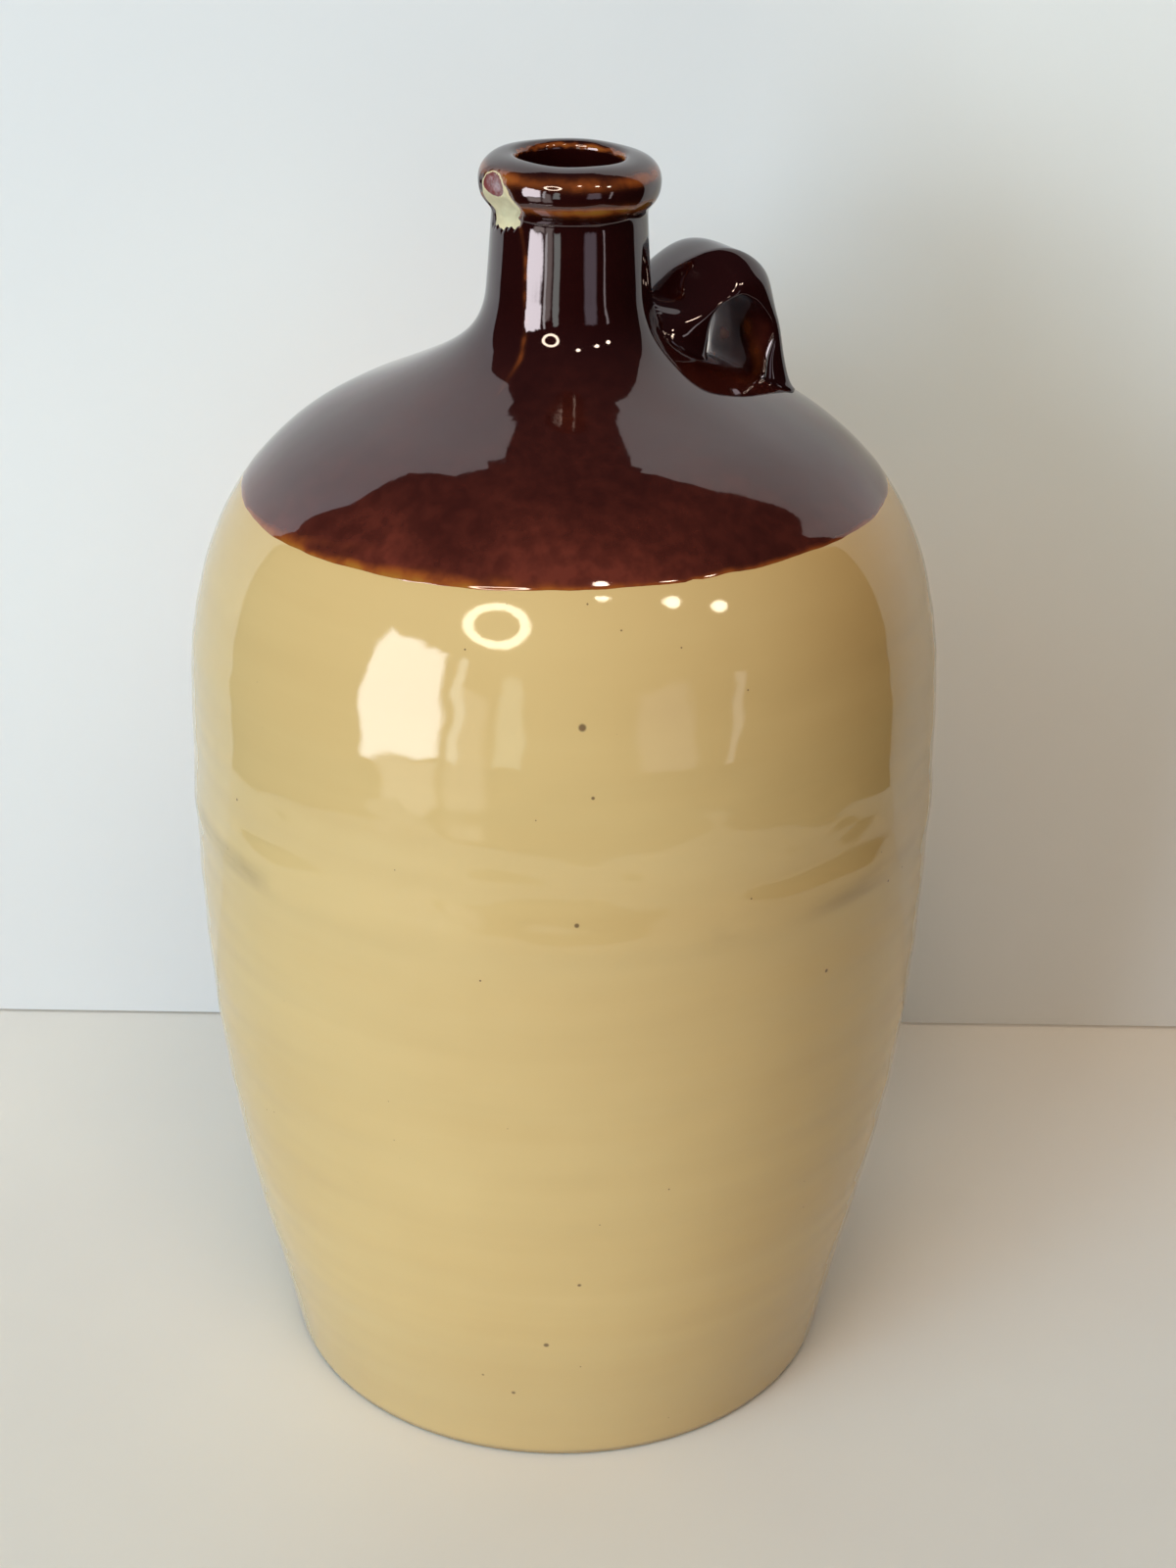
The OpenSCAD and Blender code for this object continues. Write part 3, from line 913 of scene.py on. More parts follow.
@dataclass
class LoopCoat:
    """The glazed loop: a pulled strap swept along its middle line and drawn out where it is luted on.

    Rows of the rim are a station, then the level, the thickness, the flat share and the full share
    that section() takes there.
    """

    pot: Flagon
    reach: float = 47.5
    root_z: float = 259.6
    rise: float = 19.8
    strap_w: float = 26.0
    strap_t: float = 8.7
    bury: float = 3.6
    arch: tuple[Pair, ...] = ((0.1, 0.0), (0.27, 0.48), (0.44, 0.84), (0.67, 1.0))
    arm: tuple[Pair, ...] = ((0.885, 0.865), (0.985, 0.57), (1.015, 0.22))
    thick: tuple[float, ...] = (2.1, 1.58, 1.18, 1.0, 0.92, 0.86, 0.86, 0.92)
    wide: tuple[float, ...] = (1.08, 1.05, 1.01, 1.0, 0.98, 0.96, 0.98, 1.04)
    rim: tuple[tuple[float, float, float, float, float], ...] = (
        (0.0, 0.0, 1.0, 0.0, 1.0), (0.9, -0.1, 0.85, 0.0, 1.0), (1.4, -0.35, 0.4, 0.0, 0.3),
        (1.9, -0.6, 0.25, 0.1, 0.0), (2.5, -0.85, 0.35, 0.3, 0.0), (3.0, -0.92, 0.7, 0.45, 0.0),
        (3.5, -0.9, 1.1, 0.5, 0.0), (4.0, -0.8, 1.25, 0.5, 0.0), (4.5, -0.5, 1.0, 0.4, 0.0),
        (5.0, 0.0, 0.6, 0.3, 0.0), (5.5, 0.1, 0.7, 0.2, 0.2), (5.9, 0.05, 0.9, 0.0, 0.8),
        (6.3, 0.0, 1.0, 0.0, 1.0), (7.0, 0.0, 1.0, 0.0, 1.0),
    )
    rim_power: float = 9.0
    rim_blur: float = 3.0
    core_share: float = 0.85
    inner_power: Pair = (1.5, 1.12)
    far_power: Pair = (2.5, 4.0)
    fillet: float = 1.15
    fillet_reach: float = 1.3
    wave: Pair = (0.07, 26.0)
    inner_face: Pair = (0.2, 0.9)
    inner_part: Pair = (4.2, 5.6)
    thin_patch: tuple[float, float, float, float] = (0.2, 0.3, 0.7, 6.0)
    red_patch: tuple[float, float, float, float] = (0.25, 1.0, 0.5, 14.0)
    red_least: float = 0.01
    rings: int = 150
    sides: int = 144
    way_step: float = 0.02
    skip: int = 6

    def middle(self) -> Array:
        """The strap's middle line, given by shares of its reach and rise.

        Returns:
            Radius and height of its places, from the root to the buried outer foot.
        """
        pot = self.pot
        seat_r = self.reach + self.strap_t / 4
        seat_z = pot.belly_z + pot.shoulder_h * (1 - (seat_r / pot.belly_r) ** pot.fall_root) ** (1 / pot.fall_power)
        across, up = np.array(self.arch).T
        arch = np.stack([pot.neck_r + across * (self.reach - pot.neck_r), self.root_z + up * self.rise], axis=-1)
        across, up = np.array(self.arm).T
        arm_z = seat_z + up * (self.root_z + self.rise - seat_z)
        arm = np.stack([pot.neck_r + across * (self.reach - pot.neck_r), arm_z], axis=-1)
        return np.concatenate([arch, arm, [[seat_r, seat_z - self.bury]]])

    @staticmethod
    def through(values: Array, station: Array) -> Array:
        """A smooth cubic through the values: half the sum of four neighbours' weights by powers of t.

        Args:
            values: One row per whole station.
            station: Where the cubic is wanted.

        Returns:
            One row per station.
        """
        last = len(values) - 1
        k = np.minimum(np.floor(station).astype(int), last - 1)
        t = (station - k)[:, None]
        p0, p1, p2, p3 = (values[np.clip(k + i, 0, last)] for i in (-1, 0, 1, 2))
        bend = 2 * p0 - 5 * p1 + 4 * p2 - p3
        return 0.5 * (2 * p1 + (p2 - p0) * t + bend * t**2 + (3 * p1 - p0 - 3 * p2 + p3) * t**3)

    def build(self, material: bpy.types.Material, clay: bpy.types.Material) -> bpy.types.Object:
        """Builds the loop: at each station the strap's section stands square to the middle line.

        Args:
            material: The dark glaze.
            clay: The bare clay of the strap inside the coat.

        Returns:
            The loop's coat as a closed solid whose ends lie under the pot's coat.
        """
        line = self.middle()
        last = len(line) - 1
        station = np.linspace(0, last, self.rings)
        place = self.through(line, station)
        ahead, behind = (self.through(line, np.clip(station + d, 0, last)) for d in (self.way_step, -self.way_step))
        way = ahead - behind
        way /= np.linalg.norm(way, axis=1)[:, None]
        share = self.through(np.stack([self.thick, self.wide], axis=-1), station)
        half_t, half_w = self.strap_t / 2 * share[:, :1], self.strap_w / 2 * share[:, 1:]
        a = np.linspace(0, 2 * math.pi, self.sides, endpoint=False)[None, :]
        place_of, *columns = np.array(self.rim).T
        level, thick, flat, full = (
            blurred(np.interp(station, place_of, v)[:, None], self.rim_blur) for v in columns
        )
        across, off = self.section(a, level, thick, flat, full)
        clay_w, clay_t = self.core_share * half_w, self.core_share * half_t
        core = Piece("loop_clay", Slot.CLAY, clay, "loop_handle")
        core.build(self.swept(place, way, clay_w * across, clay_t * off), {"pit": 0 * off}, closed_rows=False)
        half_t, half_w = half_t + self.pot.coat_t, half_w + self.pot.coat_t
        first = self.swept(place, way, half_w * across, half_t * off)
        drawn = self.fillet * np.exp(-np.abs(self.height_over(first)) / self.fillet_reach)
        x, y, z = np.moveaxis(first, -1, 0)
        drawn = drawn + self.wave[0] * ripple(x, y, z, self.wave[1], seed=41)
        out_w, out_t = across * half_t, (off - level * (across < 0)) * half_w
        size = np.hypot(out_w, out_t) + TINY
        grid = self.swept(place, way, half_w * across + drawn * out_w / size, half_t * off + drawn * out_t / size)
        inner = smooth_step(-np.sin(a), *self.inner_face) * smooth_step(station, *self.inner_part)[:, None]
        whole, least, more, length = self.thin_patch
        thin = np.clip(whole * inner * (least + more * ripple(x, y, z, length, seed=42)), 0, 1)
        whole, least, more, length = self.red_patch
        red = whole * inner * (least + more * ripple(x, y, z, length, seed=43))
        marks = {"thin": thin, "red": np.clip(red + self.red_least, 0, 1)}
        return Piece("loop_coat", Slot.DARK, material, "loop_glaze").build(grid, marks, closed_rows=False)

    def section(self, a: Array, level: Array, thick: Array, flat: Array, full: Array) -> tuple[Array, Array]:
        """The strap's section: a saddle with a thin rim on one side and a full edge on the other.

        The rim's side falls by a soft step to its thickness and ends in a power of the share across.
        Its belly and the full side are 1 less a power of that share, to a power.

        Args:
            a: Directions round the section.
            level: How high the rim lies at each station, from -1 to 1.
            thick: How thick the rim is.
            flat: How far across the top stays flat before it falls.
            full: How much the belly of the rim's side has the full side's shape.

        Returns:
            Shares of the half width and of the half thickness.
        """
        across, above = np.cos(a), np.sin(a) > 0
        share = np.abs(across)
        fall = thick * (1 - share**self.rim_power) ** 0.5 + (1 - level - thick) * (1 - smooth_step(share, flat, 1.0))
        p, q = self.inner_power
        outer, inner = ((1 - share**power) ** (1 / power) for power in self.far_power)
        belly = (1 - full) * (1 - share**p) ** (1 / q) + full * inner
        near = np.where(above, level + fall, level - (1 + level) * belly)
        return across, np.where(across < 0, near, np.where(above, outer, -inner))

    @staticmethod
    def swept(place: Array, way: Array, across: Array, off: Array) -> Array:
        """Places beside the middle line.

        Args:
            place: Places on the line.
            way: The line's directions there.
            across: Distances along Y.
            off: Distances along the line's normal.

        Returns:
            A grid of places, one row per place on the line.
        """
        x = place[:, :1] - way[:, 1:] * off
        z = place[:, 1:] + way[:, :1] * off
        return np.stack([x, across + 0 * x, z], axis=-1)

    def height_over(self, grid: Array) -> Array:
        """Distance from the pot's coat, measured square to the nearest of its points.

        Args:
            grid: Places.

        Returns:
            The distance at each, positive outside the coat.
        """
        outer = self.pot.clay().grown(self.pot.coat_t)
        pick = slice(outer.r.size // 2, int(np.argmax(outer.z)), self.skip)
        line = np.stack([outer.r[pick], outer.z[pick]], axis=-1)
        out = np.stack([part[pick] for part in outer.outward], axis=-1)
        here = np.stack([np.hypot(grid[..., 0], grid[..., 1]), grid[..., 2]], axis=-1).reshape(-1, 2)
        nearest = np.argmin(((here[:, None, :] - line[None]) ** 2).sum(-1), axis=1)
        return ((here - line[nearest]) * out[nearest]).sum(-1).reshape(grid.shape[:2])


@dataclass(frozen=True)
class Grain:
    """A noise on Object coordinates, and the soft step that shapes it.

    Scale is in cycles per metre, one for all axes or one for each.
    """

    scale: float | Colour
    detail: float
    low: float = 0.3
    high: float = 0.7
    start: float = 0.0
    end: float = 1.0


@dataclass(frozen=True)
class Spots:
    """Small round specks: mean distance between places, share that have one, largest radius, in mm."""

    size: float
    chance: float
    radius: float
    share: float = 1.0


class Signal:
    """A value in a node tree that can be added, scaled and shaped."""

    def __init__(self, tree: bpy.types.NodeTree, socket: bpy.types.NodeSocket) -> None:
        """Keeps the tree and the socket that gives the value."""
        self.tree, self.socket = tree, socket

    def math(self, operation: str, *others: Signal | float) -> Signal:
        """The result of a Math node on this value and up to two others.

        Args:
            operation: The node's operation.
            others: The other operands.

        Returns:
            The result.
        """
        node = self.tree.nodes.new("ShaderNodeMath")
        node.operation = operation
        self.tree.links.new(self.socket, node.inputs[0])
        for i, other in enumerate(others, 1):
            if isinstance(other, Signal):
                self.tree.links.new(other.socket, node.inputs[i])
            else:
                node.inputs[i].default_value = other
        return Signal(self.tree, node.outputs[0])

    def __add__(self, other: Signal | float) -> Signal:
        """Sum."""
        return self.math("ADD", other)

    def __sub__(self, other: Signal | float) -> Signal:
        """Difference."""
        return self.math("SUBTRACT", other)

    def __mul__(self, other: Signal | float) -> Signal:
        """Product."""
        return self.math("MULTIPLY", other)

    def step(self, low: float, high: float, start: float = 0.0, end: float = 1.0) -> Signal:
        """A soft step.

        Args:
            low: Where the step begins.
            high: Where it ends.
            start: The result up to low.
            end: The result from high on.

        Returns:
            The result.
        """
        node = self.tree.nodes.new("ShaderNodeMapRange")
        node.interpolation_type = "SMOOTHSTEP"
        self.tree.links.new(self.socket, node.inputs["Value"])
        for name, value in (("From Min", low), ("From Max", high), ("To Min", start), ("To Max", end)):
            node.inputs[name].default_value = value
        return Signal(self.tree, node.outputs["Result"])

    def within(self, low: float, high: float, soft: float) -> Signal:
        """1 between two values, 0 outside them, with soft ends."""
        return self.step(low - soft, low + soft) * self.step(high - soft, high + soft, 1.0, 0.0)


class Sheet:
    """A node tree with short calls for the nodes that the finishes use."""

    speck_low: float = 0.35
    speck_edge: float = 0.6
    chance_edge: float = 0.002
    dot_ease: Pair = (0.5, 1.1)
    peel_fine: Pair = (800.0, 1.0)
    peel_fine_share: float = 0.25
    peel_broad: Pair = (130.0, 2.0)

    def __init__(self, tree: bpy.types.NodeTree) -> None:
        """Clears the tree."""
        self.tree = tree
        tree.nodes.clear()

    def node(self, kind: str, **inputs: object) -> bpy.types.Node:
        """Adds a node.

        Args:
            kind: The node's type.
            inputs: Values or links of its inputs, with underscores for spaces.

        Returns:
            The new node.
        """
        made = self.tree.nodes.new(kind)
        for name, value in inputs.items():
            self.put(made.inputs[name.replace("_", " ")], value)
        return made

    def put(self, socket: bpy.types.NodeSocket, value: object) -> None:
        """Links a signal or socket to an input, or sets the input's value.

        Args:
            socket: The input.
            value: What it gets.
        """
        if isinstance(value, Signal):
            self.tree.links.new(value.socket, socket)
        elif isinstance(value, bpy.types.NodeSocket):
            self.tree.links.new(value, socket)
        elif isinstance(value, tuple) and len(value) == 3 and socket.type == "RGBA":
            socket.default_value = (*value, 1.0)
        else:
            socket.default_value = value

    def signal(self, node: bpy.types.Node, output: str | int = 0) -> Signal:
        """A node's output as a signal."""
        return Signal(self.tree, node.outputs[output])

    def mark(self, name: str) -> Signal:
        """A named value of the mesh.

        Args:
            name: Its name.

        Returns:
            The value.
        """
        made = self.node("ShaderNodeAttribute")
        made.attribute_name = name
        return self.signal(made, "Fac")

    def place(self) -> bpy.types.NodeSocket:
        """Object coordinates, in metres."""
        return self.node("ShaderNodeTexCoord").outputs["Object"]

    def noise(self, where: bpy.types.NodeSocket, scale: float, detail: float) -> Signal:
        """Noise between 0 and 1. Scale is in cycles per unit of the coordinates."""
        return self.signal(self.node("ShaderNodeTexNoise", Vector=where, Scale=scale, Detail=detail), "Fac")

    def grain(self, grain: Grain) -> Signal:
        """A shaped noise on Object coordinates, which a Mapping node stretches where it has three scales.

        Args:
            grain: Its numbers.

        Returns:
            Its value.
        """
        where, scale = self.place(), grain.scale
        if isinstance(scale, tuple):
            where, scale = self.node("ShaderNodeMapping", Vector=where, Scale=scale).outputs[0], 1.0
        return self.noise(where, scale, grain.detail).step(grain.low, grain.high, grain.start, grain.end)

    def peel(self) -> Signal:
        """The fine unevenness of fired glaze: a broad noise with a finer one on it."""
        fine = self.noise(self.place(), *self.peel_fine) * self.peel_fine_share
        return fine + self.noise(self.place(), *self.peel_broad)

    def parts(self, where: bpy.types.NodeSocket) -> tuple[Signal, Signal, Signal]:
        """The three parts of a vector."""
        made = self.node("ShaderNodeSeparateXYZ", Vector=where)
        return self.signal(made, 0), self.signal(made, 1), self.signal(made, 2)

    def along(self, where: bpy.types.NodeSocket, way: Array | Colour) -> Signal:
        """Length of a vector along a fixed direction.

        Args:
            where: The vector.
            way: The direction.

        Returns:
            Their dot product.
        """
        made = self.node("ShaderNodeVectorMath")
        made.operation = "DOT_PRODUCT"
        self.put(made.inputs[0], where)
        made.inputs[1].default_value = tuple(float(v) for v in way)
        return self.signal(made, "Value")

    def mix(self, share: Signal | float, first: object, second: object) -> bpy.types.NodeSocket:
        """A colour between two.

        Args:
            share: How much of the second there is.
            first: The colour at 0.
            second: The colour at 1.

        Returns:
            The mixed colour.
        """
        made = self.node("ShaderNodeMix")
        made.data_type = "RGBA"
        ends = [socket for socket in made.inputs if socket.type == "RGBA"]
        for socket, value in zip((made.inputs[0], *ends), (share, first, second)):
            self.put(socket, value)
        return next(socket for socket in made.outputs if socket.type == "RGBA")

    def spots(self, spots: Spots) -> Signal:
        """Small round specks at random places.

        Args:
            spots: Their numbers.

        Returns:
            The share in a speck, 0 outside.
        """
        size, most = spots.size, 1.0 - spots.chance
        cells = self.node("ShaderNodeTexVoronoi", Vector=self.place(), Scale=1.0 / (size * MM))
        pick, grow, _ = self.parts(cells.outputs["Color"])
        reach = grow.step(0.0, 1.0, self.speck_low * spots.radius / size, spots.radius / size)
        near = self.signal(cells, "Distance").math("DIVIDE", reach).step(self.speck_edge, 1.0, 1.0, 0.0)
        return near * pick.step(most, most + self.chance_edge) * spots.share

    def speck(self, azimuth: float, z: float, r: float, radius: float) -> Signal:
        """One speck at a known place on the pot, as a ball that the surface passes through.

        Args:
            azimuth: Its direction.
            z: Its height.
            r: Its distance from the axis.
            radius: The ball's radius.

        Returns:
            1 in the speck, 0 outside.
        """
        a = math.radians(azimuth)
        made = self.node("ShaderNodeVectorMath")
        made.operation = "DISTANCE"
        self.put(made.inputs[0], self.place())
        made.inputs[1].default_value = (r * MM * math.cos(a), r * MM * math.sin(a), z * MM)
        low, high = (share * radius * MM for share in self.dot_ease)
        return self.signal(made, "Value").step(low, high, 1.0, 0.0)

    def shade(self, **inputs: object) -> bpy.types.Node:
        """A Principled shader that the tree's output shows.

        Args:
            inputs: Values or links of its inputs, with underscores for spaces.

        Returns:
            The shader.
        """
        shader = self.node("ShaderNodeBsdfPrincipled", **inputs)
        self.show(shader, "ShaderNodeOutputMaterial")
        return shader

    def show(self, node: bpy.types.Node, kind: str) -> None:
        """Links a node to a new output of the tree."""
        self.tree.links.new(node.outputs[0], self.node(kind).inputs[0])

    def bump(self, height: Signal, depth: float) -> bpy.types.NodeSocket:
        """A normal from a height. Depth is in millimetres."""
        return self.node("ShaderNodeBump", Height=height, Distance=depth * MM, Strength=1.0).outputs[0]


def new_material(name: str) -> tuple[bpy.types.Material, Sheet]:
    """Makes an empty material.

    Args:
        name: Its name.

    Returns:
        The material and its sheet of nodes.
    """
    made = bpy.data.materials.new(name)
    made.use_nodes = True
    return made, Sheet(made.node_tree)


@dataclass(frozen=True)
class CreamGlaze:
    """Clear glossy glaze over pale clay, with faint turning lines, iron specks, handling stains and a painted shadow
    line at the foot.

    Rows of the specks are azimuth, height, distance from the axis and radius.
    """

    colour: Colour = (0.668, 0.456, 0.195)
    deep: Colour = (0.593, 0.380, 0.150)
    stain_and_shadow: Colour = (0.30, 0.20, 0.085)
    iron: Colour = (0.16, 0.09, 0.045)
    foot_dark: Colour = (0.36, 0.25, 0.125)
    roughness: float = 0.05
    ior: float = 1.52
    peel_depth: float = 0.014
    broad: Grain = Grain(14.0, 3.0, 0.25, 0.75)
    broad_share: float = 0.45
    banded: Grain = Grain((5.0, 5.0, 75.0), 4.0)
    banded_share: float = 0.3
    lute_z: tuple[float, float, float] = (153.9, 158.5, 2.6)
    left_side: tuple[Pair, Pair] = ((-172.0, -160.0), (160.0, 178.0))
    right_side: tuple[float, float, float] = (-78.0, -62.0, 8.0)
    right_share: float = 0.9
    smear: Grain = Grain((30.0, 30.0, 160.0), 3.0)
    smear_share: float = 0.62
    grime: Grain = Grain((22.0, 22.0, 30.0), 5.0, 0.5, 0.75)
    grime_share: float = 0.4
    small_specks: tuple[Spots, Spots] = (Spots(5.0, 0.3, 0.27, 0.85), Spots(11.0, 0.32, 0.42))
    speck_share: float = 0.9
    specks: tuple[tuple[float, float, float, float], ...] = (
        (245.1, 207.2, 87.1, 1.0), (244.6, 162.2, 90.5, 0.65), (246.0, 61.7, 83.1, 0.65), (240.6, 41.3, 79.2, 0.8),
        (234.4, 23.1, 75.1, 0.6), (228.8, 28.1, 76.3, 0.5), (284.5, 138.3, 90.3, 0.6), (246.6, 192.0, 89.5, 0.5),
        (323.0, 181.1, 90.2, 0.9), (321.0, 120.6, 89.7, 0.8), (322.0, 165.0, 90.4, 0.7),
    )
    foot_darkening: tuple[float, float, float] = (4.0, 60.0, 0.34)
    foot_shadow_share: float = 0.35

    def build(self) -> bpy.types.Material:
        """Builds the material: broad and banded noise between two tones, stains, specks, then a painted shadow line
        at the foot.

        Returns:
            The material.
        """
        made, sheet = new_material("cream_glaze")
        x, y, z = sheet.parts(sheet.place())
        height = z * (1 / MM)
        tone = sheet.grain(self.broad) * self.broad_share + sheet.grain(self.banded) * self.banded_share
        body = sheet.mix(tone, self.colour, self.deep)
        turn = y.math("ARCTAN2", x) * DEGREES
        left = turn.step(*self.left_side[0], 1.0, 0.0) + turn.step(*self.left_side[1])
        sides = (left + turn.within(*self.right_side) * self.right_share).math("MINIMUM", 1.0)
        lute = height.within(*self.lute_z)
        body = sheet.mix(sides * lute * sheet.grain(self.smear) * self.smear_share, body, self.stain_and_shadow)
        body = sheet.mix(sheet.grain(self.grime) * lute * self.grime_share, body, self.stain_and_shadow)
        fine, coarse = (sheet.spots(spots) for spots in self.small_specks)
        body = sheet.mix((fine + coarse).math("MINIMUM", 1.0), body, self.iron)
        for row in self.specks:
            body = sheet.mix(sheet.speck(*row) * self.speck_share, body, self.iron)
        # Darker towards the foot: most at the bottom, fading out by 60 mm up.
        body = sheet.mix(height.step(*self.foot_darkening, 0.0), body, self.foot_dark)
        # Painted shadow: a brown line along the coat's lowest edge at the foot, from the edge mark.
        body = sheet.mix(sheet.mark("edge") * self.foot_shadow_share, body, self.stain_and_shadow)
        normal = sheet.bump(sheet.peel(), self.peel_depth)
        sheet.shade(Base_Color=body, Roughness=self.roughness, IOR=self.ior, Normal=normal)
        return made


@dataclass(frozen=True)
class DarkGlaze:
    """Glossy red-brown glaze, mottled, and honey coloured where it is thin."""

    colour: Colour = (0.013, 0.0016, 0.0016)
    red: Colour = (0.135, 0.025, 0.014)
    amber: Colour = (0.27, 0.062, 0.012)
    honey: Colour = (0.36, 0.135, 0.018)
    pin: Colour = (0.30, 0.20, 0.13)
    gloss: Colour = (1.0, 0.86, 0.89)
    roughness: float = 0.045
    ior: float = 1.8
    peel_depth: float = 0.012
    cloud: Grain = Grain((60.0, 60.0, 35.0), 5.0, 0.25, 0.75, 0.8, 1.2)
    grain: Grain = Grain(300.0, 3.0, 0.3, 0.75, 0.7, 1.25)
    mottle: Grain = Grain(190.0, 4.0, 0.25, 0.65, 0.4, 1.1)
    amber_ease: Pair = (0.0, 0.55)
    honey_ease: Pair = (0.35, 1.0)
    pins: Spots = Spots(16.0, 0.16, 0.42)
    pin_share: float = 0.6
    pin_depth: float = 2.0

    def build(self) -> bpy.types.Material:
        """Builds the material: noise from dark to red, amber and honey by the thin mark, pinholes.

        Returns:
            The material.
        """
        made, sheet = new_material("dark_glaze")
        red = sheet.mark("red") * sheet.grain(self.cloud) * sheet.grain(self.grain)
        body = sheet.mix(red.math("MINIMUM", 1.0), self.colour, self.red)
        thin = sheet.mark("thin") * sheet.grain(self.mottle)
        body = sheet.mix(thin.step(*self.amber_ease), body, self.amber)
        body = sheet.mix(thin.step(*self.honey_ease), body, self.honey)
        pins = sheet.spots(self.pins)
        body = sheet.mix(pins * self.pin_share, body, self.pin)
        normal = sheet.bump(sheet.peel() - pins * self.pin_depth, self.peel_depth)
        look = {"Roughness": self.roughness, "IOR": self.ior, "Specular_Tint": self.gloss}
        sheet.shade(Base_Color=body, Normal=normal, **look)
        return made


@dataclass(frozen=True)
class BareClay:
    """Fired stoneware: dry and gritty, with a glassy red pit where the mark says so."""

    colour: Colour = (0.76, 0.62, 0.37)
    deep: Colour = (0.64, 0.49, 0.28)
    pore: Colour = (0.25, 0.17, 0.08)
    pit: Colour = (0.20, 0.045, 0.04)
    pit_light: Colour = (0.42, 0.24, 0.24)
    tone: Grain = Grain(160.0, 5.0)
    pores: Spots = Spots(2.2, 0.3, 0.2, 0.4)
    core: Grain = Grain(700.0, 3.0, 0.35, 0.65)
    core_ease: Pair = (0.62, 1.0)
    glass_ease: Pair = (0.05, 0.22)
    rough_ease: tuple[float, float, float, float] = (0.05, 0.3, 0.82, 0.22)
    grit: Pair = (900.0, 4.0)
    grit_depth: float = 0.06

    def build(self, slot: Slot) -> bpy.types.Material:
        """Builds the material: grainy noise between two tones, pores, and the pit.

        Args:
            slot: Gives the material's name.

        Returns:
            The material.
        """
        made, sheet = new_material(slot.value)
        body = sheet.mix(sheet.grain(self.tone), self.colour, self.deep)
        body = sheet.mix(sheet.spots(self.pores), body, self.pore)
        pit = sheet.mark("pit")
        glass = sheet.mix(pit.step(*self.core_ease) * sheet.grain(self.core), self.pit, self.pit_light)
        body = sheet.mix(pit.step(*self.glass_ease), body, glass)
        normal = sheet.bump(sheet.noise(sheet.place(), *self.grit), self.grit_depth)
        sheet.shade(Base_Color=body, Roughness=pit.step(*self.rough_ease), Normal=normal)
        return made


@dataclass(frozen=True)
class Pane:
    """A bright shape in the mirrored room. Corners are azimuth and elevation from the camera's side."""

    corners: tuple[Pair, ...]
    level: float
    tint: Colour = (1.0, 1.0, 1.0)
    soft: float = 0.9

    def inside(self, across: Signal, up: Signal) -> Signal:
        """The product of a soft step at each edge, with the corners in turn leftwise.

        Args:
            across: The mirrored direction's azimuth.
            up: Its elevation.

        Returns:
            1 inside the pane, 0 outside.
        """
        lit = None
        for (a0, e0), (a1, e1) in zip(self.corners, self.corners[1:] + self.corners[:1]):
            length = math.hypot(a1 - a0, e1 - e0)
            na, ne = -(e1 - e0) / length, (a1 - a0) / length
            edge = (across * na + up * ne - (na * a0 + ne * e0)).step(-self.soft, self.soft)
            lit = edge if lit is None else lit * edge
        return lit


@dataclass(frozen=True)
class Lamp:
    """An area light: direction and elevation from the camera's side, distance in metres, watts."""

    name: str
    azimuth: float
    elevation: float
    reach: float
    power: float
    colour: Colour


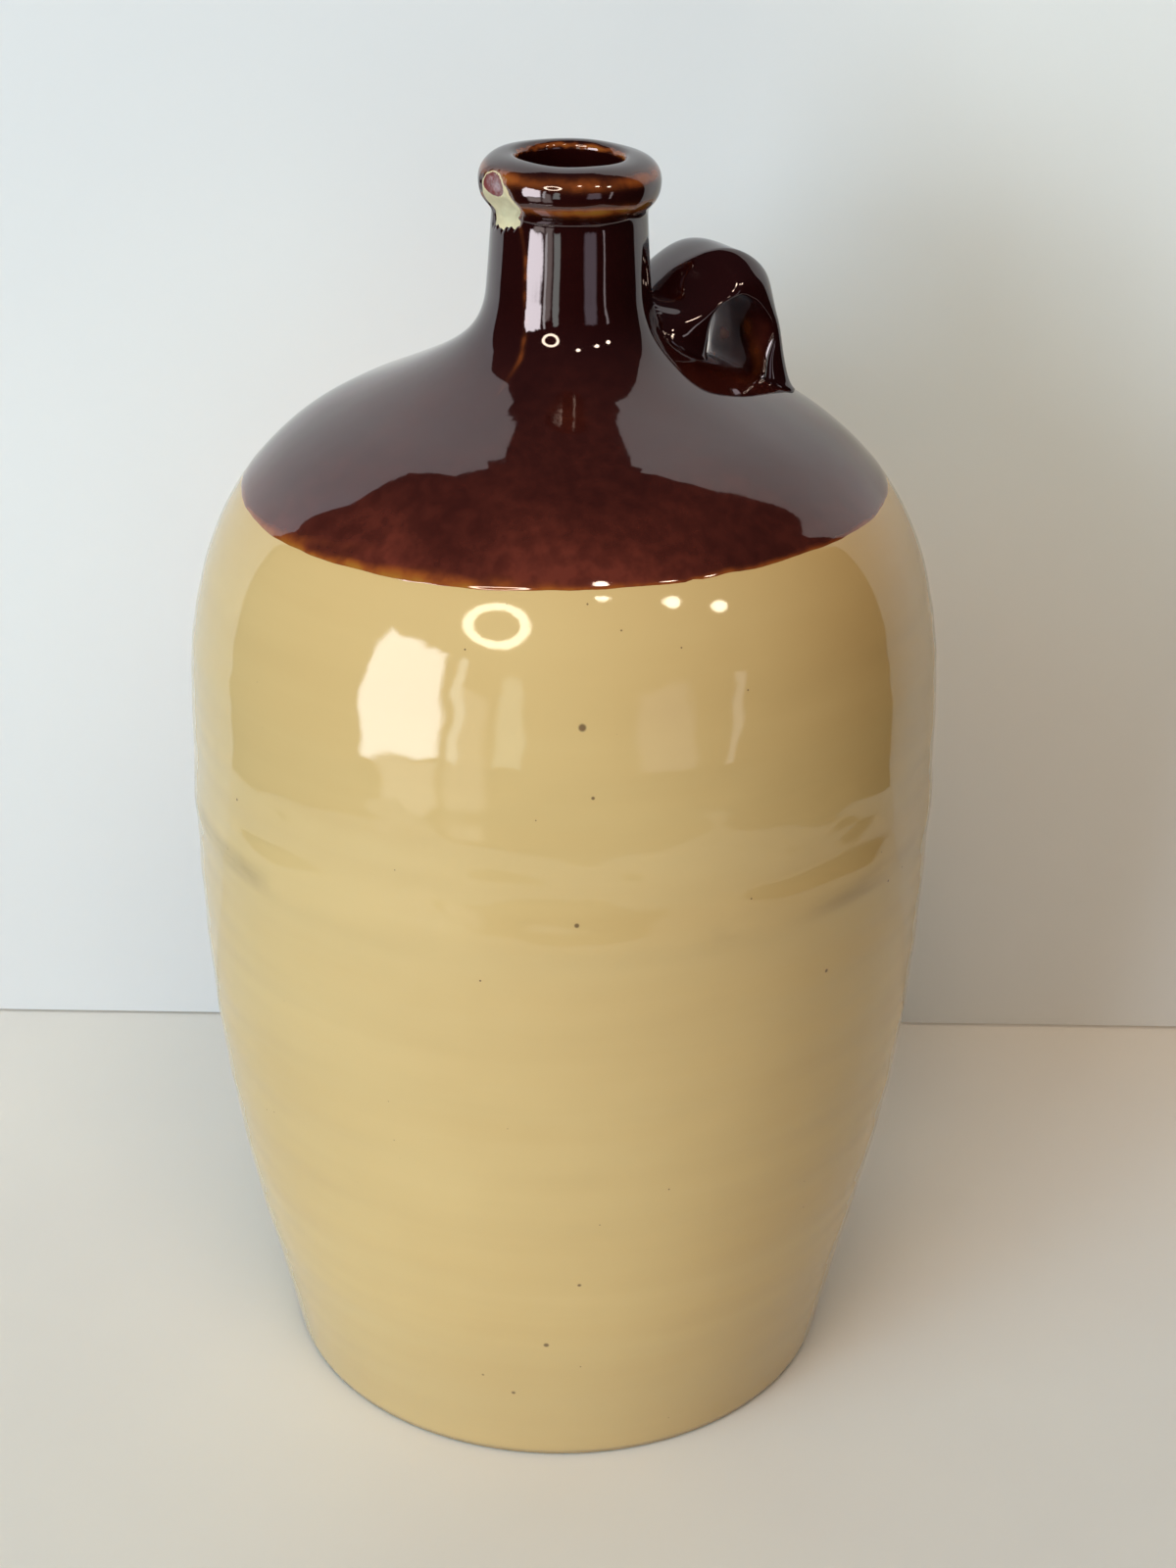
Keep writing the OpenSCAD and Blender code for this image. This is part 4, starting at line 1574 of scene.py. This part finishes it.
@dataclass
class Studio:
    """The camera, the floor and wall, the lights, and the room that the glaze mirrors.

    Places are in the camera's frame, which the turn leads back to the part's.
    """

    turn: float = 28.0
    eye: Colour = (6.051, -559.13, 420.57)
    pitch: float = 25.606
    roll: float = -0.857
    lens: float = 57.23
    sensor: float = 36.0
    wall_y: float = 141.0
    wall_shape: tuple[Pair, ...] = (
        (-450, 0.6), (445, 0.6), (495, 92), (495, 560), (400, 710), (300, 705), (233, 690), (190, 694),
        (150, 668), (115, 672), (108, 630), (84, 622), (80, 585), (58, 590), (52, 545), (-54, 548), (-62, 590),
        (-80, 588), (-88, 640), (-116, 632), (-128, 680), (-165, 690), (-200, 722), (-222, 640), (-240, 600),
        (-330, 626), (-450, 640),
    )
    wall_tone: Grain = Grain(7.0, 4.0)
    wall_colours: tuple[Colour, Colour] = ((0.79, 0.766, 0.741), (0.77, 0.751, 0.731))
    wall_shade: Colour = (0.64, 0.62, 0.61)
    wall_shade_ease: Pair = (-0.04, 0.2)
    wall_lit_ends: tuple[tuple[float, Pair, Pair, Colour], ...] = (
        (1.0, (0.03, 0.13), (0.1, 0.24), (0.88, 0.86, 0.82)), (-1.0, (0.28, 0.40), (0.15, 0.3), (0.80, 0.79, 0.78)),
    )
    wall_roughness: float = 0.8
    table: tuple[float, float, float] = (-445.0, 430.0, -450.0)
    floor_half: float = 2200.0
    floor_below: float = -0.05
    floor_tone: Grain = Grain(9.0, 4.0)
    floor_colours: tuple[Colour, Colour] = ((0.79, 0.77, 0.72), (0.76, 0.74, 0.70))
    floor_roughness: float = 0.55
    panes: tuple[Pane, ...] = (
        Pane(((-59, -11), (-36, -6), (-37, 19.5), (-57, 23.5), (-60.5, 12)), 9.0, (0.93, 0.97, 1.0), 1.3),
        Pane(((-53, -22), (-37, -20), (-36, -9), (-53, -9)), 1.8, (1.0, 0.97, 0.9), 1.8),
        Pane(((-34.5, -21), (-22.6, -20.5), (-23.6, 7), (-33, 12)), 1.2, (1.0, 0.97, 0.9), 2.0),
        Pane(((-55, -30), (-23, -30), (-23, -28), (-54, -27.6)), 2.4, (1.0, 0.97, 0.9)),
        Pane(((-34, -9), (-31, -9), (-30, 19), (-32.5, 19)), 3.6, (0.9, 1.0, 0.98), 0.8),
        Pane(((-21, -9), (-12, -9), (-12, 15), (-19, 17)), 1.7, (0.8, 1.0, 0.93), 1.0),
        Pane(((22, -9), (39, -9), (39, 11), (24, 13)), 0.8, (0.9, 0.88, 1.0), 2.0),
        Pane(((49.5, -12), (52, -12), (56, 11), (53, 12)), 1.7),
    )
    spots: Rows = ((16.0, 50.5, 2.2), (42.5, 43.0, 2.6), (57.5, 35.5, 2.6))
    spot_colour: Colour = (24.0, 21.0, 16.0)
    spot_ease: Pair = (0.7, 1.15)
    ring: tuple[float, float, float, float] = (-23.5, 36.0, 8.3, 1.7)
    ring_colour: Colour = (16.0, 14.3, 11.0)
    ring_ease: Pair = (0.6, 1.15)
    rag: Pair = (11.0, 6.0)
    rag_reach: tuple[float, float, float] = (4.0, 7.0, 2.0)
    gloss_sky: tuple[Colour, Colour] = ((0.016, 0.010, 0.010), (0.032, 0.030, 0.034))
    gloss_ease: Pair = (-0.2, 1.0)
    matt_sky: tuple[Colour, Colour] = ((0.003, 0.003, 0.003), (0.008, 0.008, 0.009))
    matt_ease: Pair = (-0.6, 0.9)
    seen_sky: Colour = (0.68, 0.72, 0.73)
    aim_z: float = 0.15
    lamps: tuple[Lamp, ...] = (
        Lamp("window", -40, 8, 2.2, 39.2, (0.68, 0.842, 1.0)),
        Lamp("upper_window", -50, 35, 2.2, 10.3, (0.08, 0.634, 1.0)),
        Lamp("door", -20, 8, 2.2, 2.7, (1.0, 0.573, 0.1)),
        Lamp("hall", 10, 15, 2.2, 4.9, (0.58, 0.957, 1.0)),
        Lamp("ceiling", -30, 60, 2.0, 7.6, (1.0, 0.702, 0.46)),
        Lamp("lamps", 8, 55, 2.0, 15.2, (1.0, 0.80, 0.63)),
    )

    def from_photo(self, v: Array | Colour) -> Array:
        """A direction or place of the camera's frame in the part's frame: turned about the axis."""
        c, s = math.cos(math.radians(self.turn)), math.sin(math.radians(self.turn))
        return np.array([v[0] * c + v[1] * s, -v[0] * s + v[1] * c, v[2]])

    def towards(self, azimuth: float, elevation: float) -> Array:
        """A direction from its azimuth and elevation, counted from the camera's side."""
        a, e = math.radians(azimuth), math.radians(elevation)
        return self.from_photo((math.sin(a) * math.cos(e), -math.cos(a) * math.cos(e), math.sin(e)))

    @staticmethod
    def aimed(name: str, data: bpy.types.ID, place: Array, axes: tuple[Array, Array, Array]) -> bpy.types.Object:
        """Puts a camera or light in the scene.

        Args:
            name: The object's name.
            data: The camera or light.
            place: Its place in metres.
            axes: Its right, up and back directions.

        Returns:
            The object.
        """
        made = bpy.data.objects.new(name, data)
        turn = Matrix([[float(axis[i]) for axis in axes] for i in range(3)]).to_4x4()
        made.matrix_world = Matrix.Translation(place) @ turn
        bpy.context.scene.collection.objects.link(made)
        return made

    def camera(self) -> None:
        """Places the camera: right and up are rolled about the view, as the photograph was."""
        p, q = math.radians(self.pitch), math.radians(self.roll)
        right, up = np.array([1.0, 0, 0]), np.array([0, math.sin(p), math.cos(p)])
        level = math.cos(q) * right - math.sin(q) * up
        rise = math.sin(q) * right + math.cos(q) * up
        data = bpy.data.cameras.new("camera")
        data.lens, data.sensor_width = self.lens, self.sensor
        axes = tuple(self.from_photo(v) for v in (level, rise, (0, -math.cos(p), math.sin(p))))
        bpy.context.scene.camera = self.aimed("camera", data, self.from_photo(self.eye) * MM, axes)

    def plane(self, name: str, corners: list[Colour], material: bpy.types.Material) -> bpy.types.Object:
        """Makes a flat sheet of the stage.

        Args:
            name: Its name.
            corners: Its corners in the camera's frame, in millimetres.
            material: Its finish.

        Returns:
            The object.
        """
        mesh = bpy.data.meshes.new(name)
        mesh.from_pydata([tuple(self.from_photo(c) * MM) for c in corners], [], [list(range(len(corners)))])
        mesh.materials.append(material)
        made = bpy.data.objects.new(name, mesh)
        bpy.context.scene.collection.objects.link(made)
        made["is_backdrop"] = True
        return made

    def floor(self) -> None:
        """Builds the floor, and the table's part of it that the glaze mirrors."""
        plaster, sheet = new_material("stage_floor")
        colour = sheet.mix(sheet.grain(self.floor_tone), *self.floor_colours)
        sheet.shade(Base_Color=colour, Roughness=self.floor_roughness)
        half, low, (left, right, front) = self.floor_half, self.floor_below, self.table
        around = [(x, y, low) for x, y in ((-half, -half), (half, -half), (half, half), (-half, half))]
        ground = self.plane("floor", around, plaster)
        ground.visible_glossy = ground.visible_diffuse = False
        corners = ((left, front), (right, front), (right, self.wall_y), (left, self.wall_y))
        self.plane("table", [(x, y, 0) for x, y in corners], plaster)

    def wall(self) -> None:
        """Builds a wall that only shows its front, with painted shade near the floor and painted light at both ends.
        """
        paint, sheet = new_material("stage_wall")
        along = sheet.along(sheet.place(), self.from_photo((1, 0, 0)))
        up = sheet.parts(sheet.place())[2]
        plain = sheet.mix(sheet.grain(self.wall_tone), *self.wall_colours)
        # Painted shade: the wall darkens towards the floor over its lowest 200 mm.
        plain = sheet.mix(up.step(*self.wall_shade_ease), self.wall_shade, plain)
        # Painted light: brighter patches on the upper parts of both ends of the wall, which the glaze also mirrors.
        for way, across_ease, up_ease, colour in self.wall_lit_ends:
            plain = sheet.mix((along * way).step(*across_ease) * up.step(*up_ease), plain, colour)
        front = sheet.node("ShaderNodeBsdfPrincipled", Base_Color=plain, Roughness=self.wall_roughness)
        clear = sheet.node("ShaderNodeBsdfTransparent")
        side = sheet.node("ShaderNodeNewGeometry")
        both = sheet.node("ShaderNodeMixShader")
        for socket, value in zip(both.inputs, (side.outputs["Backfacing"], front.outputs[0], clear.outputs[0])):
            sheet.put(socket, value)
        sheet.show(both, "ShaderNodeOutputMaterial")
        self.plane("wall", [(x, self.wall_y, z) for x, z in self.wall_shape], paint)

    def light(self, lamp: Lamp) -> None:
        """Adds an area light that faces the pot, unseen in the glaze and by the camera.

        Args:
            lamp: Its numbers.
        """
        way = self.towards(lamp.azimuth, lamp.elevation)
        data = bpy.data.lights.new(lamp.name, "AREA")
        data.shape, data.size = "SQUARE", 1.0
        data.energy, data.color = lamp.power, lamp.colour
        side = np.cross([0, 0, 1.0], way)
        side /= np.linalg.norm(side)
        place = way * lamp.reach + np.array([0, 0, self.aim_z])
        made = self.aimed(lamp.name, data, place, (side, np.cross(way, side), way))
        made.visible_glossy = made.visible_camera = False

    def room(self) -> None:
        """Builds the world: even light for matt surfaces, and a room with bright places for gloss."""
        world = bpy.data.worlds.new("room")
        world.use_nodes = True
        bpy.context.scene.world = world
        sheet = Sheet(world.node_tree)
        way = sheet.node("ShaderNodeTexCoord").outputs["Generated"]
        right, front = (sheet.along(way, self.from_photo(v)) for v in ((1, 0, 0), (0, -1, 0)))
        up = sheet.along(way, (0, 0, 1))
        azimuth, elevation = right.math("ARCTAN2", front) * DEGREES, up.math("ARCSINE") * DEGREES
        rag = sheet.noise(way, *self.rag) - 0.5
        rag_across, rag_up, rag_spot = (rag * reach for reach in self.rag_reach)
        azimuth, elevation = azimuth + rag_across, elevation + rag_up
        colour = sheet.mix(up.step(*self.gloss_ease), *self.gloss_sky)
        for pane in self.panes:
            colour = sheet.mix(pane.inside(azimuth, elevation), colour, tuple(c * pane.level for c in pane.tint))
        for place, height, radius in self.spots:
            low, high = (radius * share for share in self.spot_ease)
            lit = (self.angle_to(sheet, way, place, height) + rag_spot).step(low, high, 1.0, 0.0)
            colour = sheet.mix(lit, colour, self.spot_colour)
        place, height, radius, half = self.ring
        low, high = (half * share for share in self.ring_ease)
        gap = (self.angle_to(sheet, way, place, height) - radius).math("ABSOLUTE")
        colour = sheet.mix(gap.step(low, high, 1.0, 0.0), colour, self.ring_colour)
        rays = sheet.node("ShaderNodeLightPath")
        ambient = sheet.mix(up.step(*self.matt_ease), *self.matt_sky)
        matt_or_seen = sheet.mix(rays.outputs["Is Camera Ray"], ambient, self.seen_sky)
        shown = sheet.mix(rays.outputs["Is Glossy Ray"], matt_or_seen, colour)
        sheet.show(sheet.node("ShaderNodeBackground", Color=shown, Strength=1.0), "ShaderNodeOutputWorld")

    def angle_to(self, sheet: Sheet, way: bpy.types.NodeSocket, azimuth: float, elevation: float) -> Signal:
        """Degrees between the mirrored direction and a lamp: the arc cosine of their dot product."""
        near = sheet.along(way, self.towards(azimuth, elevation))
        return near.math("MINIMUM", 1.0).math("ARCCOSINE") * DEGREES

    def build(self) -> None:
        """Builds the whole studio."""
        self.camera()
        self.floor()
        self.wall()
        self.room()
        for lamp in self.lamps:
            self.light(lamp)
        bpy.context.scene.view_settings.view_transform = "Standard"


@dataclass
class DressedFlagon:
    """All the pieces of the flagon: the finer coats and clay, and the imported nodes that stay."""

    nodes: dict[str, bpy.types.Object]
    pot: Flagon = Flagon()
    chip: Chip = Chip()
    cream: CreamGlaze = CreamGlaze()
    dark: DarkGlaze = DarkGlaze()
    clay: BareClay = BareClay()
    slip: BareClay = BareClay(colour=(0.66, 0.59, 0.36), deep=(0.52, 0.44, 0.25))

    def build(self) -> None:
        """Builds the coats, the chipped clay and the loop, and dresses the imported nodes."""
        cream, dark = self.cream.build(), self.dark.build()
        clay, slip = self.clay.build(Slot.CLAY), self.slip.build(Slot.SLIP)
        coat = DarkCoat(self.pot, self.chip)
        CreamCoat(self.pot).build(cream)
        coat.build(dark)
        UpperClay(self.pot, self.chip, coat).build(clay)
        LoopCoat(self.pot).build(dark, clay)
        self.dress("lower_body", clay)
        for name in ("belly_lute", "neck_lute", "shoulder_lute"):
            self.dress(name, slip)
        self.dress("liner_glaze", cream)

    def dress(self, name: str, material: bpy.types.Material) -> None:
        """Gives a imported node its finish.

        Args:
            name: The node's name.
            material: The finish.
        """
        slots = self.nodes[name].data.materials
        slots.clear()
        slots.append(material)
        log.info("%s: packed node, finish %s", name, material.name)


def corners(box: tuple) -> list[list[float]]:
    """A box's lowest and highest corner as plain numbers."""
    return [[float(v) for v in corner] for corner in box]


def main() -> None:
    """Loads the frame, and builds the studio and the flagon."""
    logging.basicConfig(level=logging.INFO, format="%(name)s: %(message)s")
    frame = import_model()
    cad = corners(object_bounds())
    Studio().build()
    DressedFlagon(frame["nodes"]).build()
    bpy.context.view_layer.update()
    {"cad": cad, "visual": corners(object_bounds())}


if __name__ == "__main__":
    main()
